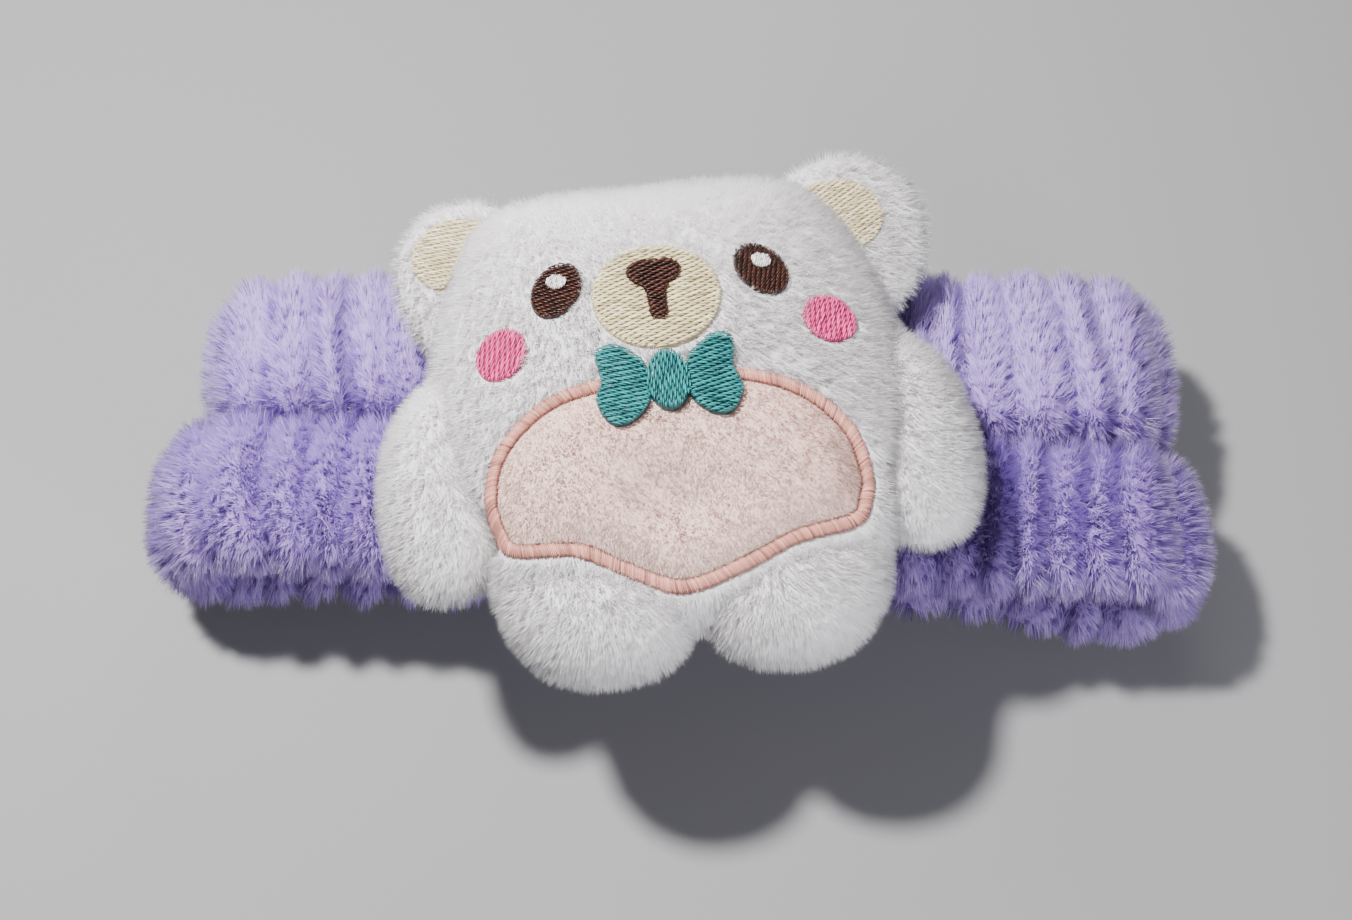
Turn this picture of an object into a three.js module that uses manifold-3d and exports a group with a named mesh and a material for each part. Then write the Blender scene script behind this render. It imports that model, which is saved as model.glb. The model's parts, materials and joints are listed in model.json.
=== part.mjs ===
// A plush headband lying flattened, with a stuffed bear sewn on its front.
// Millimetres. +X runs along the band, +Y towards the bear's head, and +Z up off the surface it lies on.
import * as THREE from 'three';
import { mergeVertices } from 'three/addons/utils/BufferGeometryUtils.js';
import Module from 'manifold-3d';

const wasm = await Module();
wasm.setup();

// Band: two rolls side by side, in a rear and a front layer that join in a fold at each end.
const bandHalfLength = 115;
const centreHalfLength = 35; // the straight middle stretch, from the centre to its hinge
const upperRollHeight = 36;
const lowerRollHeight = 38;
const layerThickness = 21;
const slotHeight = 6; // between the rear and the front layer
const hingeGap = 0.6; // between neighbouring stretches of cover
const rollSides = 16;
const rollSquareness = 0.8; // 1 is an ellipse, less is squarer
const foldSteps = 8;

// The flat elastic inside each roll.
const elasticWidth = 20;
const elasticThickness = 2;
const elasticClearance = 0.4;

// Bear. Its plan sizes are measured across, u, and up the bear, w, from the middle of its chest.
const bearTilt = 7; // degrees, anticlockwise
const bearX = -1.3;
const bearY = -7.2; // from the seam between the two rolls
const restClearance = 0.3; // between the bear's back and the band
const backDepth = 10;
const bodyDepth = 21;
const panelWall = 1.2;
const stuffingClearance = 0.4;
const seamGap = 0.3; // between a front panel and its back panel

const headTop = 52;
const headHalfWidth = 28;
const cheekHalfWidth = 45;
const headSide = [[36.5, 10], [41.5, 21], [cheekHalfWidth, 32]]; // across, and down from the head's top
const armSeam = [[48.6, 7], [40.6, -25]]; // the line where the arm joins the side, shoulder end first
const legSeam = [[37.8, -36], [2, -46.5]]; // the line where the leg joins, outer end first
const bodyPoint = -47; // the lowest point of the body, between the legs
const bodySides = 32;
const bodyRings = 4;

const limbSides = 16;
const limbRings = 3;
const limbSeamGap = 0.4;
const bodyTrim = 0.1; // the body may bulge this far past a limb's seam line
const armDepth = 12;
const armBackDepth = 9;
const legDepth = 13;
const legBackDepth = 9;
const earDepth = 5;
const earBackDepth = 4;
const earLift = 3; // the ear's seam lies this much below the body's seam
const earSeam = [[31.3, headTop - 1], [49, headTop - 32]];
const faceShift = -1; // the muzzle, bow and tummy sit this far to the right of the body's middle

// Appliqué and embroidery, as heights over the cloth they are sewn to.
const sewnGap = 0.5;
const patchThickness = 1;
const stitchThickness = 1.2;
const borderWidth = 2.8;
const borderGap = 0.4;
const bowThickness = 2.2;
const patchSides = 16;
const patchRings = 2;
const widePatchRings = 8; // on the tummy and the ears, where the cloth curves under the piece

const colours = {
  plush: 0xb9acdf,
  elastic: 0xf0eeee,
  fleece: 0xe4e1e8,
  stuffing: 0xfafafa,
  velour: 0xd9c4c0,
  border: 0xc08c82,
  cream: 0xddd3ae,
  brown: 0x46231a,
  highlight: 0xdfe3ee,
  cheek: 0xd66498,
  teal: 0x3c958e,
};

const headband = new THREE.Group();
const bear = new THREE.Group();

function addMesh(group, name, geometry, colour, roughness = 0.95) {
  const material = new THREE.MeshStandardMaterial({ color: colour, roughness, metalness: 0 });
  const mesh = new THREE.Mesh(geometry, material);
  mesh.name = name;
  group.add(mesh);
  return mesh;
}

function makeGeometry(positions, indices) {
  const geometry = new THREE.BufferGeometry();
  geometry.setAttribute('position', new THREE.Float32BufferAttribute(positions, 3));
  geometry.setIndex(indices);
  return geometry;
}

// Six times the volume inside the faces, negative when they point inwards.
function signedVolume(positions, indices) {
  let total = 0;
  const corner = (i) => new THREE.Vector3().fromArray(positions, 3 * indices[i]);
  for (let i = 0; i < indices.length; i += 3) {
    total += corner(i).dot(corner(i + 1).cross(corner(i + 2)));
  }
  return total;
}

function outwards(positions, indices) {
  if (signedVolume(positions, indices) < 0) {
    for (let i = 0; i < indices.length; i += 3) {
      [indices[i + 1], indices[i + 2]] = [indices[i + 2], indices[i + 1]];
    }
  }
  return makeGeometry(positions, indices);
}

// Carries a closed outline through stations. Each station has a centre, the direction of the outline's
// first coordinate and the direction of its second.
function sweep(stations, outline) {
  const size = outline.length;
  const positions = [];
  const indices = [];
  for (const { centre, across, out } of stations) {
    for (const [p, q] of outline) {
      const point = centre.clone().addScaledVector(across, p).addScaledVector(out, q);
      positions.push(...point.toArray());
    }
  }
  for (let step = 0; step < stations.length - 1; step += 1) {
    for (let i = 0; i < size; i += 1) {
      const a = step * size + i;
      const b = step * size + (i + 1) % size;
      indices.push(a, b, b + size, a, b + size, a + size);
    }
  }
  const flat = outline.map(([p, q]) => new THREE.Vector2(p, q));
  const last = (stations.length - 1) * size;
  for (const [a, b, c] of THREE.ShapeUtils.triangulateShape(flat, [])) {
    indices.push(c, b, a, last + a, last + b, last + c);
  }
  return outwards(positions, indices);
}

function toManifold(geometry) {
  const plain = geometry.clone();
  plain.deleteAttribute('normal');
  plain.deleteAttribute('uv');
  const merged = mergeVertices(plain, 1e-5);
  return new wasm.Manifold(new wasm.Mesh({
    numProp: 3,
    vertProperties: new Float32Array(merged.attributes.position.array),
    triVerts: new Uint32Array(merged.index.array),
  }));
}

function subtract(geometry, cutters) {
  const left = cutters.reduce((solid, cutter) => solid.subtract(toManifold(cutter)), toManifold(geometry));
  const { vertProperties, triVerts } = left.getMesh();
  return makeGeometry(Array.from(vertProperties), Array.from(triVerts));
}

// ---- Band

const midHeight = layerThickness + slotHeight / 2;
const foldX = bandHalfLength - slotHeight / 2 - layerThickness;

// One roll's section, with flat faces on its inner side (0) and its outer side (the layer's thickness).
function rollOutline(middle, height) {
  const halfHeight = height / 2;
  const halfThickness = layerThickness / 2;
  const bend = (value) => Math.sign(value) * Math.abs(value) ** rollSquareness;
  const reach = bend(Math.cos(Math.PI / rollSides));
  return Array.from({ length: rollSides }, (_, i) => {
    const angle = Math.PI + (i + 0.5) * 2 * Math.PI / rollSides;
    const y = middle + halfHeight * bend(Math.cos(angle)) / reach;
    const depth = halfThickness + halfThickness * bend(Math.sin(angle)) / reach;
    return [y, depth];
  });
}

// Both rolls as one outline: they share the short flat side where the cover is stitched together.
function coverOutline() {
  const upper = rollOutline(upperRollHeight / 2, upperRollHeight);
  const lower = rollOutline(-lowerRollHeight / 2, lowerRollHeight);
  const turned = lower.slice(rollSides / 2).concat(lower.slice(0, rollSides / 2));
  return upper.concat(turned.slice(1, -1));
}

function elasticOutline(middle, clearance) {
  const y = elasticWidth / 2 + clearance;
  const depth = elasticThickness / 2 + clearance;
  const half = layerThickness / 2;
  return [[middle - y, half - depth], [middle + y, half - depth], [middle + y, half + depth],
    [middle - y, half + depth]];
}

const rollMiddles = { upper: upperRollHeight / 2, lower: -lowerRollHeight / 2 };

// A straight stretch of one layer. side is -1 for the rear layer and 1 for the front one.
function straightStations(fromX, toX, side) {
  const across = new THREE.Vector3(0, 1, 0);
  const out = new THREE.Vector3(0, 0, side);
  const z = midHeight + side * slotHeight / 2;
  return [fromX, toX].map((x) => ({ centre: new THREE.Vector3(x, 0, z), across, out }));
}

// The half turn at an end of the band, from the rear layer round to the front one.
function foldStations(end) {
  const across = new THREE.Vector3(0, 1, 0);
  return Array.from({ length: foldSteps + 1 }, (_, i) => {
    const angle = -Math.PI / 2 + Math.PI * i / foldSteps;
    const out = new THREE.Vector3(end * Math.cos(angle), 0, Math.sin(angle));
    const centre = new THREE.Vector3(end * foldX, 0, midHeight).addScaledVector(out, slotHeight / 2);
    return { centre, across, out };
  });
}

function addStretch(name, stations) {
  const rolls = Object.values(rollMiddles);
  const channels = rolls.map((middle) => sweep(stations, elasticOutline(middle, elasticClearance)));
  addMesh(headband, `${name}_cover`, subtract(sweep(stations, coverOutline()), channels), colours.plush);
  for (const [roll, middle] of Object.entries(rollMiddles)) {
    const elastic = sweep(stations, elasticOutline(middle, 0));
    addMesh(headband, `${name}_${roll}_elastic`, elastic, colours.elastic, 0.8);
  }
}

const innerEnd = centreHalfLength + hingeGap;
const outerEnd = foldX - hingeGap;
for (const [layer, side] of [['rear', -1], ['front', 1]]) {
  addStretch(`${layer}_centre`, straightStations(-centreHalfLength, centreHalfLength, side));
  addStretch(`${layer}_left`, straightStations(-outerEnd, -innerEnd, side));
  addStretch(`${layer}_right`, straightStations(innerEnd, outerEnd, side));
}
addStretch('left_fold', foldStations(-1));
addStretch('right_fold', foldStations(1));

// ---- Bear

// The body's front and back panels meet at this height.
const seamHeight = 2 * layerThickness + slotHeight + restClearance + backDepth + seamGap / 2;

// A closed smooth plan outline through the points given, anticlockwise.
function smoothOutline(points, sides) {
  const curve = new THREE.CatmullRomCurve3(points.map(([u, w]) => new THREE.Vector3(u, w, 0)), true);
  const samples = curve.getSpacedPoints(sides).slice(0, sides);
  return samples.map((point) => [point.x, point.y]);
}

const mirrored = (points) => points.map(([u, w]) => [-u, w]).reverse();
const onLeft = (side, points) => (side < 0 ? mirrored(points) : points);

// How high a stuffed shape stands at k, from 0 in its middle to 1 at its seam, as a share of its depth.
const crown = (k) => Math.sqrt(1 - k ** 4);

// Rings of a stuffed surface over a plan outline, from its middle out to its seam.
function crownRings(outline, [cu, cw], seamZ, depth, inset, ringCount) {
  const reach = Math.min(...outline.map(([u, w]) => Math.hypot(u - cu, w - cw)));
  const shrink = 1 - inset / reach;
  return Array.from({ length: ringCount }, (_, i) => {
    const k = Math.sin(Math.PI / 2 * (i + 1) / ringCount);
    const z = seamZ + (i + 1 < ringCount ? depth * crown(k) : 0);
    return outline.map(([u, w]) => [cu + (u - cu) * k * shrink, cw + (w - cw) * k * shrink, z]);
  });
}

// A closed body from rings that run from its top to its underside, closed by a point at each end.
function ringSolid(top, rings, under) {
  const sides = rings[0].length;
  const positions = [top, ...rings.flat(), under].flat();
  const underIndex = 1 + rings.length * sides;
  const indices = [];
  for (let i = 0; i < sides; i += 1) {
    const next = (i + 1) % sides;
    indices.push(0, 1 + i, 1 + next);
    for (let ring = 0; ring < rings.length - 1; ring += 1) {
      const a = 1 + ring * sides;
      const b = a + sides;
      indices.push(a + i, b + i, b + next, a + i, b + next, a + next);
    }
    const last = underIndex - sides;
    indices.push(last + i, underIndex, last + next);
  }
  return makeGeometry(positions, indices);
}

// One panel of cloth: a crowned shell that ends at the seam. way is 1 for a front and -1 for a back.
function panel(outline, centre, seamZ, depth, way, ringCount) {
  const z = seamZ + way * seamGap / 2;
  const outer = crownRings(outline, centre, z, way * depth, 0, ringCount);
  const inner = crownRings(outline, centre, z, way * (depth - panelWall), panelWall, ringCount);
  const outerTop = [...centre, z + way * depth];
  const innerTop = [...centre, z + way * (depth - panelWall)];
  return way > 0
    ? ringSolid(outerTop, [...outer, ...inner.reverse()], innerTop)
    : ringSolid(innerTop, [...inner, ...outer.reverse()], outerTop);
}

function stuffing(outline, centre, seamZ, depth, underDepth, ringCount) {
  const inset = panelWall + stuffingClearance;
  const upper = crownRings(outline, centre, seamZ, depth - inset, inset, ringCount);
  const under = crownRings(outline, centre, seamZ, inset - underDepth, inset, ringCount);
  const rings = [...upper, ...under.slice(0, -1).reverse()];
  return ringSolid([...centre, seamZ + depth - inset], rings, [...centre, seamZ + inset - underDepth]);
}

// Cuts a piece along a seam line on the body's plan, offset outwards. It keeps what lies outside the
// line, or with keep set to -1 what lies inside it.
function cutAtSeam(geometry, [[u1, w1], [u2, w2]], offset, keep = 1) {
  const middle = new THREE.Vector3((u1 + u2) / 2, (w1 + w2) / 2, 0);
  const normal = new THREE.Vector3(w2 - w1, u1 - u2, 0).normalize();
  if (normal.dot(middle) < 0) {
    normal.negate();
  }
  const size = 4 * headTop;
  const block = new THREE.BoxGeometry(size, size, size);
  block.rotateZ(Math.atan2(normal.y, normal.x));
  const place = middle.addScaledVector(normal, offset - keep * size / 2);
  block.translate(place.x, place.y, seamHeight);
  return subtract(geometry, [block]);
}

// Points at the given shares of the way along a seam line.
function alongSeam([[u1, w1], [u2, w2]], shares) {
  return shares.map((t) => [u1 + (u2 - u1) * t, w1 + (w2 - w1) * t]);
}

const belowTop = (points) => points.map(([u, drop]) => [u, headTop - drop]);
const halfOutline = [
  ...belowTop([[headHalfWidth / 2, 0.5], [headHalfWidth, 3], ...headSide]),
  ...alongSeam(armSeam, [0.02, 0.35, 0.7, 0.98]),
  ...alongSeam(legSeam, [0, 0.33, 0.66]),
];
const bodyOutline = smoothOutline(
  [[0, headTop], ...halfOutline.map(([u, w]) => [-u, w]), [0, bodyPoint], ...halfOutline.slice().reverse()],
  bodySides,
);
const bodyCentre = [0, 2];

const bothSides = (seam) => [seam, seam.map(([u, w]) => [-u, w])];
const limbSeams = [...bothSides(armSeam), ...bothSides(legSeam)];
const trimmed = (geometry) => limbSeams.reduce((left, seam) => cutAtSeam(left, seam, bodyTrim, -1), geometry);

const bodyFront = panel(bodyOutline, bodyCentre, seamHeight, bodyDepth, 1, bodyRings);
const bodyBack = panel(bodyOutline, bodyCentre, seamHeight, backDepth, -1, bodyRings);
const bodyFilling = stuffing(bodyOutline, bodyCentre, seamHeight, bodyDepth, backDepth, bodyRings);
addMesh(bear, 'body_front_panel', trimmed(bodyFront), colours.fleece);
addMesh(bear, 'body_back_panel', trimmed(bodyBack), colours.fleece);
addMesh(bear, 'body_stuffing', trimmed(bodyFilling), colours.stuffing);

// Each limb's full outline runs a little way under the body and is then cut at its seam line.
const armPoints = [[44, 12], [40, -10], [38, -30], [45, -36], [54, -34], [60, -25], [61.5, -11], [57, 3],
  [51, 10]];
const legPoints = [[36.5, -30], [18, -28], [3, -36], [1.8, -47], [7, -55.5], [17.5, -58], [28, -56],
  [35, -49], [37.5, -40]];
const limbCentre = { arm: [50, -12], leg: [19, -43] };

function addLimb(name, points, seam, depth, underDepth) {
  for (const [label, side] of [['left', -1], ['right', 1]]) {
    const outline = onLeft(side, smoothOutline(onRing(points), limbSides));
    const centre = [side * limbCentre[name][0], limbCentre[name][1]];
    const line = seam.map(([u, w]) => [side * u, w]);
    const cut = (geometry) => cutAtSeam(geometry, line, limbSeamGap);
    const front = panel(outline, centre, seamHeight, depth, 1, limbRings);
    const back = panel(outline, centre, seamHeight, underDepth, -1, limbRings);
    const filling = stuffing(outline, centre, seamHeight, depth, underDepth, limbRings);
    addMesh(bear, `${label}_${name}_front_panel`, cut(front), colours.fleece);
    addMesh(bear, `${label}_${name}_back_panel`, cut(back), colours.fleece);
    addMesh(bear, `${label}_${name}_stuffing`, cut(filling), colours.stuffing);
  }
}

// Puts a hand-listed outline into anticlockwise order.
function onRing(points) {
  const area = points.reduce((sum, [u, w], i) => {
    const [u2, w2] = points[(i + 1) % points.length];
    return sum + u * w2 - u2 * w;
  }, 0);
  return area < 0 ? points.slice().reverse() : points;
}

addLimb('arm', armPoints, armSeam, armDepth, armBackDepth);
addLimb('leg', legPoints, legSeam, legDepth, legBackDepth);

const earPoints = belowTop([[36, 20], [28, 8], [32, 0.5], [40, -2.5], [50, -1], [56.5, 7], [57.5, 17],
  [54, 27], [47, 33], [40, 28]]);
const earCentre = [45, headTop - 14];
const earSeamHeight = seamHeight - earLift;

for (const [label, side] of [['left', -1], ['right', 1]]) {
  const outline = onLeft(side, smoothOutline(onRing(earPoints), limbSides));
  const centre = [side * earCentre[0], earCentre[1]];
  const line = earSeam.map(([u, w]) => [side * u, w]);
  const front = panel(outline, centre, earSeamHeight, earDepth, 1, limbRings);
  const back = panel(outline, centre, earSeamHeight, earBackDepth, -1, limbRings);
  addMesh(bear, `${label}_ear_front_panel`, cutAtSeam(front, line, limbSeamGap), colours.fleece);
  addMesh(bear, `${label}_ear_back_panel`, cutAtSeam(back, line, limbSeamGap), colours.fleece);
}

// ---- Appliqué and embroidery

// The height of a crowned cloth at a plan point: its share k is found along the ray from the middle.
function clothHeight(outline, [cu, cw], seamZ, depth, [u, w]) {
  const distance = Math.hypot(u - cu, w - cw);
  let k = 0;
  outline.forEach(([u1, w1], i) => {
    const [u2, w2] = outline[(i + 1) % outline.length];
    const turn = (u1 - cu) * (w2 - w1) - (w1 - cw) * (u2 - u1);
    const along = (u - cu) * (w2 - w1) - (w - cw) * (u2 - u1);
    const hit = turn / along;
    const t = ((u - cu) * (w1 - cw) - (w - cw) * (u1 - cu)) / -along;
    if (distance > 0 && hit > 0 && t >= 0 && t <= 1) {
      k = 1 / hit;
    }
  });
  return seamZ + seamGap / 2 + depth * crown(Math.min(k, 0.999));
}

const bodyHeight = (point) => clothHeight(bodyOutline, bodyCentre, seamHeight, bodyDepth, point);

// A thin piece that follows the cloth under it, from base to base + thickness over it.
function sewnPiece(outline, heightAt, base, thickness, ringCount = patchRings) {
  const n = outline.length;
  const centre = [0, 1].map((axis) => outline.reduce((sum, point) => sum + point[axis], 0) / n);
  const ringAt = (k, rise) => outline.map(([u, w]) => {
    const point = [centre[0] + (u - centre[0]) * k, centre[1] + (w - centre[1]) * k];
    return [...point, heightAt(point) + rise];
  });
  const shares = Array.from({ length: ringCount }, (_, i) => (i + 1) / ringCount);
  const upper = shares.map((k) => ringAt(k, base + thickness));
  const under = shares.map((k) => ringAt(k, base)).reverse();
  const middle = heightAt(centre) + base;
  return ringSolid([...centre, middle + thickness], [...upper, ...under], [...centre, middle]);
}

function ellipse([cu, cw], halfU, halfW, turn = 0, sides = patchSides) {
  const c = Math.cos(turn);
  const s = Math.sin(turn);
  return Array.from({ length: sides }, (_, i) => {
    const angle = 2 * Math.PI * i / sides;
    const [p, q] = [halfU * Math.cos(angle), halfW * Math.sin(angle)];
    return [cu + p * c - q * s, cw + p * s + q * c];
  });
}

const tummyUpper = [[32.4, -29.2], [34.6, -21.3], [32, -13.2], [23.8, -6.9], [13.4, -4], [0, -3.1]];
const tummyLower = [[20.5, -31.6], [10.5, -35.4], [0, -39.6]];
const tummySides = 32;
const tummyPoints = [...tummyUpper.slice().reverse(), ...tummyLower];
const tummyOutline = smoothOutline(
  onRing([...tummyPoints, ...mirrored(tummyPoints).slice(1, -1)]),
  tummySides,
).map(([u, w]) => [u + faceShift, w]);
const tummyPatch = sewnPiece(tummyOutline, bodyHeight, sewnGap, patchThickness, widePatchRings);
addMesh(bear, 'tummy_patch', tummyPatch, colours.velour);

// The border is a strip just outside the patch's outline, in an upper and a lower run.
const borderOffset = borderGap + borderWidth / 2;
const cornerIndex = (side) => {
  const corner = [side * tummyUpper[0][0] + faceShift, tummyUpper[0][1]];
  const distances = tummyOutline.map(([u, w]) => Math.hypot(u - corner[0], w - corner[1]));
  return distances.indexOf(Math.min(...distances));
};

function borderStations(first, last) {
  const n = tummyOutline.length;
  const count = (last - first + n) % n;
  return Array.from({ length: count + 1 }, (_, step) => {
    const here = (first + step) % n;
    const [u0, w0] = tummyOutline[(here - 1 + n) % n];
    const [u1, w1] = tummyOutline[(here + 1) % n];
    const away = new THREE.Vector3(w1 - w0, u0 - u1, 0).normalize();
    const along = new THREE.Vector3(-away.y, away.x, 0);
    const [u, w] = tummyOutline[here];
    const centre = new THREE.Vector3(u, w, 0).addScaledVector(away, borderOffset);
    if (step === 0 || step === count) {
      centre.addScaledVector(along, step === 0 ? borderGap / 2 : -borderGap / 2);
    }
    centre.z = Math.max(...[-1, 0, 1].map((side) => bodyHeight([
      centre.x + away.x * side * borderWidth / 2,
      centre.y + away.y * side * borderWidth / 2,
    ])));
    return { centre, across: away, out: new THREE.Vector3(0, 0, 1) };
  });
}

const borderSection = [
  [-borderWidth / 2, sewnGap],
  [borderWidth / 2, sewnGap],
  [borderWidth / 2, sewnGap + stitchThickness],
  [-borderWidth / 2, sewnGap + stitchThickness],
];
addMesh(bear, 'tummy_border_upper',
  sweep(borderStations(cornerIndex(1), cornerIndex(-1)), borderSection), colours.border, 0.6);
addMesh(bear, 'tummy_border_lower',
  sweep(borderStations(cornerIndex(-1), cornerIndex(1)), borderSection), colours.border, 0.6);

// The bow lies over the border and the patch.
const bowBase = sewnGap + stitchThickness + sewnGap;
const knotHalfWidth = 4.4;
const knotHalfHeight = 6.2;
const wingGap = 0.4;
const knotCentre = [faceShift, -3.6];
const wingPoints = [[knotHalfWidth + wingGap, 3], [6.8, 6.6], [10, 8.6], [13, 7], [12.4, 2.2],
  [13.9, -2.8], [11.5, -7.2], [8.2, -7.4], [knotHalfWidth + wingGap, -4]];
for (const [label, side] of [['left', -1], ['right', 1]]) {
  const outline = onRing(wingPoints.map(([u, w]) => [knotCentre[0] + side * u, knotCentre[1] + w]));
  addMesh(bear, `bow_${label}_wing`, sewnPiece(outline, bodyHeight, bowBase, bowThickness),
    colours.teal, 0.5);
}
const knotOutline = ellipse(knotCentre, knotHalfWidth, knotHalfHeight);
addMesh(bear, 'bow_knot', sewnPiece(knotOutline, bodyHeight, bowBase, bowThickness), colours.teal, 0.5);

const muzzleCentre = [faceShift, 16.2];
const muzzleOutline = ellipse(muzzleCentre, 12.8, 12.1);
addMesh(bear, 'muzzle', sewnPiece(muzzleOutline, bodyHeight, sewnGap, stitchThickness), colours.cream, 0.5);

const onMuzzle = sewnGap + stitchThickness + sewnGap;
const nosePoints = [[0, 24.4], [3.6, 24], [5.5, 21.8], [4.6, 18.8], [1.9, 17.2], [1.7, 13.6], [1.5, 10.8],
  [0, 10.2]];
const noseOutline = onRing([...nosePoints, ...mirrored(nosePoints).slice(1, -1)])
  .map(([u, w]) => [u + faceShift, w]);
addMesh(bear, 'nose', sewnPiece(noseOutline, bodyHeight, onMuzzle, stitchThickness), colours.brown, 0.5);

for (const [label, side] of [['left', -1], ['right', 1]]) {
  const eye = [side * 20.4, 20.5];
  const highlight = [eye[0] + 0.2, eye[1] + 1.6];
  const cheek = [side * 32.5, 8.9];
  const eyePiece = sewnPiece(ellipse(eye, 5.2, 6.3, side * 0.5), bodyHeight, sewnGap, stitchThickness);
  addMesh(bear, `${label}_eye`, eyePiece, colours.brown, 0.45);
  const spot = sewnPiece(ellipse(highlight, 1.6, 1.6, 0, 8), bodyHeight, onMuzzle, stitchThickness / 2);
  addMesh(bear, `${label}_eye_highlight`, spot, colours.highlight, 0.4);
  const cheekPiece = sewnPiece(ellipse(cheek, 5.2, 5.4), bodyHeight, sewnGap, stitchThickness);
  addMesh(bear, `${label}_cheek`, cheekPiece, colours.cheek, 0.5);

  const earOutline = onLeft(side, smoothOutline(onRing(earPoints), limbSides));
  const centre = [side * earCentre[0], earCentre[1]];
  const earHeight = (point) => clothHeight(earOutline, centre, earSeamHeight, earDepth, point);
  const patchPoints = belowTop([[34.6, 5.6], [38.6, 3.4], [44.2, 4.4], [48.6, 8.8], [49.2, 13.8], [47, 17.6],
    [44.2, 19]]);
  const patch = onRing(patchPoints.map(([u, w]) => [side * u, w]));
  const earPatch = sewnPiece(patch, earHeight, sewnGap, stitchThickness, widePatchRings);
  addMesh(bear, `${label}_ear_patch`, earPatch, colours.cream, 0.5);
}

bear.rotation.z = THREE.MathUtils.degToRad(bearTilt);
bear.position.set(bearX, bearY, 0);
headband.add(bear);

// The frame's origin is under the middle of the whole part.
headband.updateMatrixWorld(true);
const box = new THREE.Box3().setFromObject(headband, true);
headband.position.y = -(box.min.y + box.max.y) / 2;

export default headband;
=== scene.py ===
import bpy
import json
import math
import numpy as np
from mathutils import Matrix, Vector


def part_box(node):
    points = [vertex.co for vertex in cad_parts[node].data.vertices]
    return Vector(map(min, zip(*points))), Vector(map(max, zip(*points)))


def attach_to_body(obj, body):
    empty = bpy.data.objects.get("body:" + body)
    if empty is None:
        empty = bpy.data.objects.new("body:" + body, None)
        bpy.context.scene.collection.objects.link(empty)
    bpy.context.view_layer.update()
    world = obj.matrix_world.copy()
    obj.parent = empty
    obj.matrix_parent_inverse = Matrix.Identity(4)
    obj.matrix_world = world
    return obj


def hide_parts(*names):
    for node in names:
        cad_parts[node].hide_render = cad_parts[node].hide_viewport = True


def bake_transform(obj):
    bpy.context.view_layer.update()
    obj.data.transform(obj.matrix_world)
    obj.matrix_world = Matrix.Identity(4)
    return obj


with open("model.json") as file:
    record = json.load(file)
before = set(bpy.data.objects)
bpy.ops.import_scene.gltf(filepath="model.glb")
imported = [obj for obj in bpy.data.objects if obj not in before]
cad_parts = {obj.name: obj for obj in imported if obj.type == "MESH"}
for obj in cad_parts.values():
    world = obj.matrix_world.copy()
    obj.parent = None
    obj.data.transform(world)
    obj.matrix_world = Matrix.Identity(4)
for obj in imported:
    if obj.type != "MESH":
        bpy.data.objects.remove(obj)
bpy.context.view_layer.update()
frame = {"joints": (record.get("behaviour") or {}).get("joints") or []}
mm = 0.001  # the shapes below are in millimetres and go into the meshes in metres


# places taken from the frame

def nodeBox(node):
    # a node's lowest and highest corners
    low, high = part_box(node)
    return np.array(low) / mm, np.array(high) / mm


def nodeCentre(node):
    low, high = nodeBox(node)
    return (low + high) / 2


rearLow, rearHigh = nodeBox("rear_centre_cover")
frontHigh = nodeBox("front_centre_cover")[1]
foldLow, foldHigh = nodeBox("left_fold_cover")
layerThickness = rearHigh[2] - rearLow[2]
midHeight = (rearLow[2] + frontHigh[2]) / 2
foldX = -foldHigh[0]
hingeX = rearHigh[0]
bandEnd = -foldLow[0]
upperMiddle = nodeCentre("rear_centre_upper_elastic")[1]
lowerMiddle = nodeCentre("rear_centre_lower_elastic")[1]
# the two rolls meet at the seam; each is as high as twice the way from its middle to its outer edge
rollSizes = {"upper": 2 * (rearHigh[1] - upperMiddle), "lower": 2 * (lowerMiddle - rearLow[1])}
seamY = rearHigh[1] - rollSizes["upper"]

jointAt = {joint["name"]: np.array(joint["pos_m"], float) / mm for joint in frame["joints"]}
armLine = jointAt["right_arm_bend"] - jointAt["left_arm_bend"]
bearTurn = math.atan2(armLine[1], armLine[0])
armHingeDrop = 9.0  # the arms' hinges lie this far below the middle of the bear's chest
bearOrigin = (jointAt["right_arm_bend"] + jointAt["left_arm_bend"]) / 2 \
    + armHingeDrop * np.array([-math.sin(bearTurn), math.cos(bearTurn), 0])
bodySeamZ = nodeBox("body_front_panel")[0][2]


def toWorld(points):
    # the bear's own plan places, across and up, turned and moved into the frame; heights are kept
    points = np.asarray(points, float)
    c, s = math.cos(bearTurn), math.sin(bearTurn)
    out = points.copy()
    out[..., 0] = bearOrigin[0] + points[..., 0] * c - points[..., 1] * s
    out[..., 1] = bearOrigin[1] + points[..., 0] * s + points[..., 1] * c
    return out


def toBear(points):
    # the same turn and move, undone
    points = np.asarray(points, float)
    c, s = math.cos(bearTurn), math.sin(bearTurn)
    x, y = points[..., 0] - bearOrigin[0], points[..., 1] - bearOrigin[1]
    out = points.copy()
    out[..., 0] = x * c + y * s
    out[..., 1] = -x * s + y * c
    return out


# camera, light and floor

view = {"elevation": 66.3, "distance": 430.0, "lens": 53.3, "aim": (-0.4, 1.6, 30.0)}
cameraData = bpy.data.cameras.new("camera")
cameraData.lens = view["lens"]
cameraData.clip_start = 0.01
camera = bpy.data.objects.new("camera", cameraData)
bpy.context.collection.objects.link(camera)
tilt = math.radians(view["elevation"])
aim = np.array(view["aim"])
eye = aim + view["distance"] * np.array([0, -math.cos(tilt), math.sin(tilt)])
camera.location = eye * mm
camera.rotation_euler = (math.pi / 2 - tilt, 0, 0)
bpy.context.scene.camera = camera

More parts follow.
